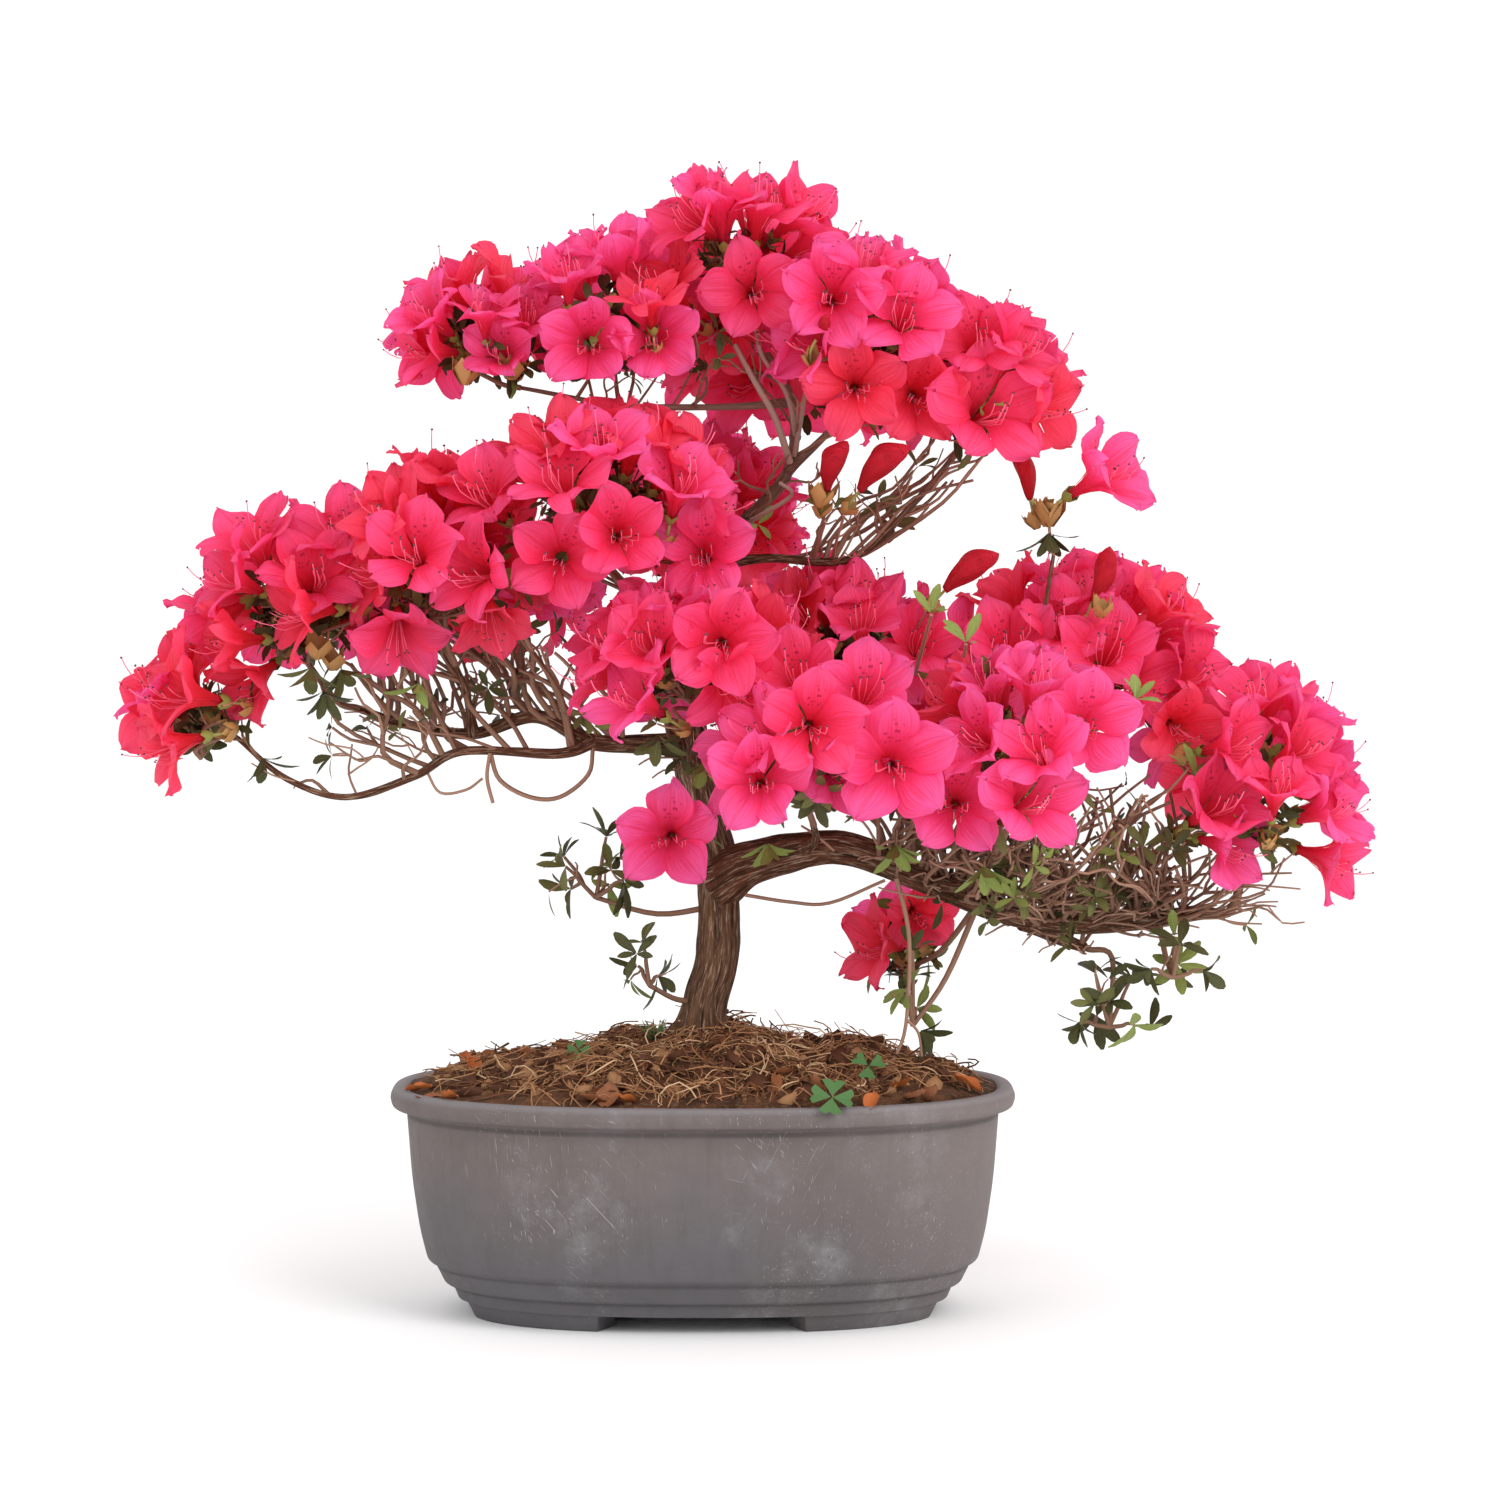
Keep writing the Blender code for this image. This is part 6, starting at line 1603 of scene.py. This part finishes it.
def growLoose():
    rng = random.Random(8000)
    for kind, first, last, points in looseTwigs:
        addRun(kind, points, first, last, 5)
    for place, way, count, kind in looseRosettes:
        addRosette(Vector(place), Vector(way).normalized(), count + 1, rng, kind, None, "alone", 1.1)
    for foot, tip, shape in shownBuds:
        foot, tip = Vector(foot), Vector(tip)
        ahead = (tip - foot).normalized()
        turn = frameOf(ahead, frontward)
        sites["bud"].append((foot, turn.to_euler(), (tip - foot).length / flower["budLength"], shape))
        below = foot - ahead * budStalk["down"] + budStalk["shift"]
        addStalk(below, foot, ahead, rng)
        addSite("scale", below, turn, budStalk["scale"], rng)
    for place, size in looseScales:
        way = Vector((0.1, -0.3, 1)).normalized()
        addSite("scale", Vector(place), frameOf(way, frontward), size, rng)
    for turn in (0.0, 0.5):
        way = Vector((0.15 - turn * 0.4, -0.2, 1)).normalized()
        addSite("scale", loneScales, frameOf(way, frontward), 1.35 + turn * 0.4, rng)


flowerFaces = []   # the middle of each flower's face so far, and the way it looks
pads = planPads()
for places in shownFlowers.values():
    flowerFaces += [(Vector(place), Vector(way).normalized()) for place, way, _, _ in places]
print("flower and leaf tips:", sum(growPad(pad, pads) for pad in pads))
for number, thicket in enumerate(thickets):
    growThicket(number, *thicket)
growLoose()


def siteTree():
    # puts shapes on points that carry their own turn, size and kind
    tree, given, result = newGroup("shapesOnSites", "GeometryNodeTree", (
        ("Sites", "Geometry", None), ("Shapes", "Collection", None), ("Finish", "Material", None)),
        (("Result", "Geometry"),))
    turn, size, kind = [
        put(tree, "GeometryNodeInputNamedAttribute", {"Name": name}, data_type=sort).outputs[0]
        for name, sort in (("turn", "FLOAT_VECTOR"), ("size", "FLOAT"), ("kind", "INT"))]
    asTurn = put(tree, "FunctionNodeEulerToRotation", {0: turn})
    placeShapes(tree, given, result, given["Sites"], kind, asTurn.outputs[0], size)
    return tree


def runTree():
    # skins paths that carry their own thickness
    tree, given, result = newGroup("skinOnRuns", "GeometryNodeTree", (
        ("Runs", "Geometry", None), ("Sides", "Int", 4), ("Finish", "Material", None)),
        (("Result", "Geometry"),))
    curve = put(tree, "GeometryNodeMeshToCurve", {0: given["Runs"]})
    ring = put(tree, "GeometryNodeCurvePrimitiveCircle", {"Radius": 1.0, "Resolution": given["Sides"]})
    thick = put(tree, "GeometryNodeInputNamedAttribute", {"Name": "thick"}, data_type="FLOAT")
    skin = put(tree, "GeometryNodeCurveToMesh", {
        "Curve": curve.outputs[0], "Profile Curve": ring.outputs[0], "Scale": thick.outputs[0],
        "Fill Caps": True})
    paintReal(tree, skin.outputs[0], given, result)
    return tree


shapesOnSites = siteTree()
skinOnRuns = runTree()


def plantOut(name, places, shapes, finish):
    # one joined piece with a shape on each site
    mesh = bpy.data.meshes.new(name)
    mesh.from_pydata([tuple(spot + potCentre) for spot, _, _, _ in places], [], [])
    for title, kind, field, values in (
            ("turn", "FLOAT_VECTOR", "vector", [tuple(turn) for _, turn, _, _ in places]),
            ("size", "FLOAT", "value", [scale for _, _, scale, _ in places]),
            ("kind", "INT", "value", [pick % len(shapes) for _, _, _, pick in places])):
        layer = mesh.attributes.new(title, kind, "POINT")
        layer.data.foreach_set(field, np.array(values, np.int32 if kind == "INT" else np.float32).ravel())
    collection = shapeSet(name + "Shape", shapes)
    made = newObject(mesh, name)
    addModifier(made, shapesOnSites, Shapes=collection, Finish=finish)
    settle(made)
    dropSet(collection)
    return made


def skinRuns(name, paths, finish, sides=4):
    points, edges, thick = [], [], []
    for path, radii in paths:
        start = len(points)
        points += [tuple(point + potCentre) for point in path]
        edges += [(start + index, start + index + 1) for index in range(len(path) - 1)]
        thick += list(radii)
    mesh = bpy.data.meshes.new(name)
    mesh.from_pydata(points, edges, [])
    layer = mesh.attributes.new("thick", "FLOAT", "POINT")
    layer.data.foreach_set("value", np.array(thick, np.float32))
    made = newObject(mesh, name)
    addModifier(made, skinOnRuns, Sides=sides, Finish=finish)
    settle(made)
    made.data.shade_smooth()
    return made


# throat, body and edge of a petal
tints = {
    "pink": ((0.88, 0.026, 0.086), (0.95, 0.05, 0.212), (0.99, 0.145, 0.455)),
    "rose": ((0.87, 0.022, 0.064), (0.94, 0.038, 0.146), (0.985, 0.108, 0.325)),
    "coral": ((0.85, 0.022, 0.044), (0.93, 0.038, 0.096), (0.975, 0.092, 0.205)),
    "bud": ((0.66, 0.014, 0.032), (0.82, 0.02, 0.054), (0.92, 0.052, 0.112)),
}


def petalLine(flare, recurve):
    # the petal's middle line in small steps: distance from the axis, height, lean away from the axis
    line = []
    across, height = flower["foot"], 0.0
    steps = flower["lineSteps"]
    length = flower["tube"] + flower["lobe"]
    tubeShare = flower["tube"] / length
    footLean, tubeAdds, mouthLean = flower["tubeLean"]
    for step in range(steps + 1):
        share = step / steps
        if share < tubeShare:
            rounding = 0.9 * max(0.0, 1 - share / (0.1 * tubeShare))
            lean = footLean + tubeAdds * (share / tubeShare) ** 2 + rounding
        else:
            s = (share - tubeShare) / (1 - tubeShare)
            lean = mouthLean + (flare - mouthLean) * min(1.0, s / 0.5) ** 0.9
            lean += recurve * max(0.0, s - 0.5) / 0.5
        line.append((across, height, lean))
        across += sin(lean) * length / steps
        height += cos(lean) * length / steps
    return line


def petalRows():
    # shares along the petal; closer together towards the rounded tip
    tubeShare = flower["tube"] / (flower["tube"] + flower["lobe"])
    rows = [tubeShare * row / flower["tubeRows"] for row in range(flower["tubeRows"])]
    for row in range(flower["lobeRows"] + 1):
        rows.append(tubeShare + (1 - tubeShare) * (1 - (1 - row / flower["lobeRows"]) ** 1.5))
    return rows, tubeShare


def either(rng, most):
    # a shift to either side
    return rng.uniform(-most, most)


def flowerShape(seed):
    rng = random.Random(seed)
    opening = rng.uniform(*flower["flare"])
    points, faces, uv = [], [], []
    shares, tubeShare = petalRows()
    columns = flower["columns"]
    for petal in range(flower["petals"]):
        flare = opening + either(rng, flower["flareShift"])
        line = petalLine(flare, rng.uniform(*flower["recurve"]))
        middle = pi / 2 + 2 * pi * petal / flower["petals"] + either(rng, flower["turnShift"])
        cup, ruffle = rng.uniform(*flower["cup"]), rng.uniform(*flower["ruffle"])
        phase, waves = rng.uniform(0, 2 * pi), rng.uniform(*flower["waves"])
        wide = flower["halfWidth"] * rng.uniform(*flower["widths"])
        sway, twist = either(rng, flower["sway"]), either(rng, flower["twist"])
        wave = rng.uniform(*flower["wave"])
        ray = Vector((cos(middle), sin(middle), 0))
        beside = Vector((-ray.y, ray.x, 0))
        start = len(points)
        for share in shares:
            across, height, lean = line[round(share * flower["lineSteps"])]
            s = max(0.0, (share - tubeShare) / (1 - tubeShare))
            grow = min(1.0, s / 0.58)
            grow = grow * grow * (3 - 2 * grow)
            half = across * pi / flower["petals"] * (1 - grow) + wide * grow
            half *= max(0.0, 1 - (max(0.0, s - 0.38) / 0.62) ** 2.4) ** 0.62
            half *= 1 + wave * s * sin(10 * s + phase)
            half = max(half, 0.0004)
            outward = ray * sin(lean) + Vector((0, 0, cos(lean)))
            inward = Vector((0, 0, sin(lean))) - ray * cos(lean)
            for column in range(columns + 1):
                v = 2 * column / columns - 1
                bow = middle + v * pi / flower["petals"]
                onTube = Vector((cos(bow) * across, sin(bow) * across, height))
                onLobe = ray * across + beside * (v * half + sway * s) + Vector((0, 0, height))
                rise = cup * v * v * half + v * (0.0006 * min(1.0, 2 * s) + twist * half * s)
                rise += ruffle * v * v * min(1.0, 1.6 * s) * sin(2 * waves * s + phase + 1.4 * v)
                rise += ruffle * 0.8 * s ** 3 * sin(3.4 * v + phase)
                rise -= flower["midrib"] * exp(-(v / 0.2) ** 2) * min(1.0, 2 * s) * (1 - 0.6 * s)
                rise += flower["pleat"] * exp(-((abs(v) - 0.5) / 0.16) ** 2) * min(1.0, 2 * s)
                notch = outward * flower["notch"] * cos(5.5 * v + phase) * s * s * (1 - v * v)
                points.append(onTube.lerp(onLobe, min(1.0, s / 0.35)) + inward * rise + notch)
                uv.append(((petal + 0.5 + 0.48 * v) / flower["petals"], 0.01 + 0.98 * share))
        for row in range(len(shares) - 1):
            for column in range(columns):
                low = start + row * (columns + 1) + column
                high = low + columns + 1
                faces.append((low, low + 1, high + 1, high))
    return points, faces, uv


def petalFinish(name, throat, body, edge):
    # across the map runs the number of the petal, and v from -1 to 1 over each; u runs from foot to tip
    material, tree, shader = newFinish(name, 0.55, 0.35)
    layer = put(tree, "ShaderNodeUVMap", uv_map="OFBake").outputs["UV"]
    parts = put(tree, "ShaderNodeSeparateXYZ", {0: layer}).outputs
    wide = times(tree, parts["X"], float(flower["petals"]))
    number = calculate(tree, "FLOOR", wide, 0.0)
    v = times(tree, calculate(tree, "SUBTRACT", calculate(tree, "FRACT", wide, 0.0), 0.5), 2.0)
    u = parts["Y"]
    side = calculate(tree, "ABSOLUTE", v, 0.0)
    colour = mixColours(tree, spread(tree, u, 0.34, 0.66), throat, body)
    colour = mixColours(tree, spread(tree, u, 0.62, 1.0), colour, edge)
    colour = mixColours(tree, spread(tree, u, 0.1, 0.0, 0.0, 0.8), colour, flower["footTint"])
    # veins run up the petal and fan out a little
    coords = put(tree, "ShaderNodeCombineXYZ", {
        "X": times(tree, v, 16.0), "Y": times(tree, u, 2.2), "Z": number})
    vein = put(tree, "ShaderNodeTexNoise", {"Vector": coords.outputs[0], "Scale": 1.0, "Detail": 3.0})
    vein = vein.outputs["Fac"]
    colour = mixColours(tree, spread(tree, vein, 0.5, 0.66, 0.0, 0.45), colour, throat)
    # painted highlight: pale streaks between the veins towards the tip, in the edge tint
    paintedHighlight = times(tree, spread(tree, vein, 0.46, 0.3), spread(tree, u, 0.5, 0.9))
    colour = tinted(tree, paintedHighlight, colour, edge, most=0.55)
    colour = mixColours(tree, spread(tree, side, 0.1, 0.0, 0.0, 0.35), colour, throat)
    # dark dots near the throat, strongest on the topmost petal
    coords = put(tree, "ShaderNodeCombineXYZ", {"X": times(tree, v, 4.5), "Y": times(tree, u, 17.0)})
    dots = put(tree, "ShaderNodeTexVoronoi", {"Vector": coords.outputs[0], "Scale": 1.0})
    speck = spread(tree, dots.outputs["Distance"], 0.34, 0.2)
    near = times(tree, spread(tree, u, 0.46, 0.56), spread(tree, u, 0.84, 0.68))
    mask = times(tree, times(tree, speck, near), spread(tree, side, 0.65, 0.3))
    upper = calculate(tree, "COMPARE", number, 0.0)
    mask = times(tree, mask, spread(tree, upper, 0.0, 1.0, 0.1, 0.65))
    colour = mixColours(tree, mask, colour, flower["spots"])
    tree.links.new(colour, shader.inputs["Base Color"])
    glow = put(tree, "ShaderNodeBsdfTranslucent", {"Color": colour})
    blend = put(tree, "ShaderNodeMixShader", {0: flower["glow"], 1: shader.outputs[0], 2: glow.outputs[0]})
    tree.links.new(blend.outputs[0], tree.nodes["Material Output"].inputs["Surface"])
    addBump(tree, shader, vein, 0.001, 0.8)
    return material


stamens = {"count": 6, "length": (0.026, 0.034), "radius": 0.00024, "pistil": 0.04, "kinds": 8,
    "tint": (0.93, 0.14, 0.26), "pollen": (0.13, 0.02, 0.03), "knob": 0.001,
    "fan": 1.2, "spread": (0.0035, 0.0095),
    "cupGreen": (0.235, 0.25, 0.055), "scaleGold": (0.43, 0.235, 0.078),
    "stalkGreen": (0.3, 0.3, 0.085)}


def stamenShape(seed):
    # the thin stalks in the throat, bent down and then up; returns the stalks and the dark knobs apart
    rng = random.Random(seed)
    stalks, knobs = [], []
    for number in range(stamens["count"] + 1):
        turn = either(rng, stamens["fan"]) - pi / 2
        out = Vector((cos(turn), sin(turn), 0))
        length = stamens["pistil"] if number == 0 else rng.uniform(*stamens["length"])
        wide = rng.uniform(*stamens["spread"])
        path = [Vector((0, 0, 0.006)) + out * 0.0006, Vector((0, 0, length * 0.5)) + out * wide * 0.55,
            Vector((0, 0, length * 0.8)) + out * wide + Vector((0, 0.0006, 0)),
            Vector((0, 0, length)) + out * wide + Vector((0, 0.0035, 0))]
        path = smoothPath(path, 2)
        stalks.append(thinTube(path, stamens["radius"] * (1.3 if number == 0 else 1.0), 3, 0.8))
        knob, faces = roughLump(rng, stamens["knob"], 1.0)
        knobs.append(([point + path[-1] for point in knob], faces))
    return joined(stalks), joined(knobs)


def calyxShape(seed):
    # a small green cup with five points round the foot of the flower
    rng = random.Random(seed)
    rings = []
    for across, height in ((0.0006, -0.0012), (0.0016, -0.0002), (0.0026, 0.0012), (0.0034, 0.0036)):
        rings.append([Vector((cos(pi * step / 5) * across, sin(pi * step / 5) * across,
                    height + (0.0018 * (step % 2) if height > 0.002 else 0)))
            for step in range(10)])
    points, faces = skinOver(rings, caps=False)
    return [point * rng.uniform(0.97, 1.03) for point in points], faces


def scaleShape(seed):
    # bud scales that stay round the foot of a cluster
    rng = random.Random(seed)
    parts = []
    for number in range(6):
        turn = number * 2.4 + rng.uniform(-0.3, 0.3)
        out = Vector((cos(turn), sin(turn), 0))
        side = Vector((-out.y, out.x, 0))
        long, wide = rng.uniform(0.007, 0.01), rng.uniform(0.002, 0.003)
        lean = rng.uniform(0.25, 0.65)
        up = upright * cos(lean) + out * sin(lean)
        foot = out * 0.0008 + Vector((0, 0, -0.001))
        points = [foot - side * wide * 0.5, foot + side * wide * 0.5, foot + up * long * 0.55 + side * wide,
            foot + up * long - out * 0.0006, foot + up * long * 0.55 - side * wide,
            foot + up * long * 0.5 + out * 0.001]
        parts.append((points, [(0, 1, 5), (1, 2, 5), (2, 3, 5), (3, 4, 5), (4, 0, 5)]))
    return joined(parts)


def budShape(seed):
    # a closed flower: a twisted spindle, pointed at its tip, on a green foot
    rng = random.Random(seed)
    rings = []
    length, thickest = flower["budLength"], flower["budWidths"][seed]
    swellAt, bend = flower["budSwell"][seed], rng.uniform(-0.003, 0.003)
    for step in range(17):
        share = step / 16
        swell = 0.34 * (1 - share) + sin(pi * share ** swellAt) ** 0.7 + 0.01
        ring = []
        for corner in range(15):
            turn = 2 * pi * corner / 15
            swirl = turn + 1.7 * share
            across = thickest * swell * (1 + 0.11 * cos(5 * turn) * min(1.0, 2.5 * share))
            ring.append(Vector((cos(swirl) * across + bend * sin(pi * share),
                sin(swirl) * across, share * length)))
        rings.append(ring)
    points, faces = skinOver(rings)
    uv = [(0.1 + 0.08 * cos(index), 0.22 + 0.5 * point.z / length) for index, point in enumerate(points)]
    return points, faces, uv


def makeBlossom():
    made = []
    shapes = [flowerShape(40 + number) for number in range(flower["kinds"])]
    everyFlower = []
    for tint in openTints:
        finish = petalFinish(tint + "Petal", *tints[tint])
        made.append(plantOut(tint + "Blossom", sites[tint], shapes, finish))
        everyFlower += sites[tint]
    pairs = [stamenShape(70 + number) for number in range(stamens["kinds"])]
    made.append(plantOut("stamens", everyFlower, [pair[0] for pair in pairs],
        plainFinish("stamenPink", stamens["tint"], 0.5)))
    made.append(plantOut("closedBuds", sites["bud"], [budShape(seed) for seed in range(4)],
        petalFinish("budRed", *tints["bud"])))
    made.append(plantOut("pollenKnobs", everyFlower, [pair[1] for pair in pairs],
        plainFinish("pollenKnob", stamens["pollen"], 0.7)))
    cups = plantOut("flowerCups", everyFlower, [calyxShape(seed) for seed in range(3)],
        plainFinish("cupGreen", stamens["cupGreen"], 0.55))
    scales = plantOut("budScales", sites["scale"], [scaleShape(seed) for seed in range(5)],
        plainFinish("scaleGold", stamens["scaleGold"], 0.6))
    return made, [cups, scales]


blossomPieces, cupPieces = makeBlossom()
print("blossom made:", sum(len(sites[tint]) for tint in openTints), "flowers")


# the leaves: size, and the dark and light tone of each kind
leaf = {
    "length": 0.0172, "width": 0.006, "rows": 5, "kinds": 5, "fold": 0.22,
    "leafDark": ((0.048, 0.05, 0.017), (0.105, 0.108, 0.042)),
    "leafOlive": ((0.1, 0.104, 0.03), (0.19, 0.19, 0.07)),
    "leafYoung": ((0.15, 0.19, 0.04), (0.3, 0.35, 0.105)),
}


def leafShape(seed):
    # widest past the middle, folded a little along the rib and bowed over
    rng = random.Random(seed)
    bow, fold = rng.uniform(0.1, 0.9), rng.uniform(0.4, 1.4) * leaf["fold"]
    points, uv, faces = [], [], []
    rows = leaf["rows"]
    for row in range(rows + 1):
        share = row / rows
        half = leaf["width"] / 2 * (sin(pi * (0.06 + 0.9 * share) ** 1.35)) ** 0.75
        half = max(half, 0.0004)
        along = leaf["length"] * (share - 0.12 * bow * share * share)
        drop = -leaf["length"] * 0.28 * bow * share * share
        for v in (-1, 0, 1):
            points.append(Vector((v * half, along, drop + fold * half * abs(v))))
            uv.append((0.5 + 0.46 * v, 0.02 + 0.96 * share))
    for row in range(rows):
        for column in (0, 1):
            low = row * 3 + column
            faces.append((low, low + 1, low + 4, low + 3))
    return points, faces, uv


def leafFinish(name, dark, light):
    material, tree, shader = newFinish(name, 0.6, 0.18)
    layer = put(tree, "ShaderNodeUVMap", uv_map="OFBake").outputs["UV"]
    across = put(tree, "ShaderNodeSeparateXYZ", {0: layer}).outputs["X"]
    side = calculate(tree, "ABSOLUTE", calculate(tree, "SUBTRACT", across, 0.5), 0.0)
    colour = tinted(tree, mottled(tree, layer, scale=5.0, low=0.35, high=0.75), dark, light, most=0.6)
    colour = mixColours(tree, spread(tree, side, 0.05, 0.0, 0.0, 0.8), colour, light)
    tree.links.new(colour, shader.inputs["Base Color"])
    return material


def makeLeaves():
    shapes = [leafShape(20 + number) for number in range(leaf["kinds"])]
    return [plantOut(kind + "s", sites[kind], shapes, leafFinish(kind, *leaf[kind]))
        for kind in leafKinds]


leafPieces = makeLeaves()
twigPieces = [
    skinRuns("twigs", runs["twig"], plainFinish("twigBark", bark["twigTint"], 0.8), 5),
    skinRuns("youngTwigs", runs["young"], plainFinish("youngBark", bark["youngTint"], 0.75), 4),
    skinRuns("flowerStalks", runs["stalk"], plainFinish("stalkGreen", stamens["stalkGreen"], 0.6), 5),
    skinRuns("greyTwigs", runs["grey"], plainFinish("greyBark", bark["greyTint"], 0.75), 6),
]
print("leaves made:", sum(len(sites[kind]) for kind in leafKinds))


# the slot of each piece and the plant's parts that it stands for
padNames = [pad["name"] for pad in pads if pad["blossom"]]
sprigNames = [pad["name"] for pad in pads if not pad["blossom"]]
standsFor = (
    ([clayPot], "pot", ["pot"]), ([earthMound] + litter, "soil", ["soil"]),
    ([barkLimbs], "bark", list(limbTable)), (twigPieces, "bark", padNames + sprigNames),
    (blossomPieces, "blossom", padNames), (cupPieces, "foliage", padNames),
    (leafPieces, "foliage", padNames + sprigNames),
)
for pieces, slotName, nodes in standsFor:
    for piece in pieces:
        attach(piece, "root")
        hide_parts(*nodes)
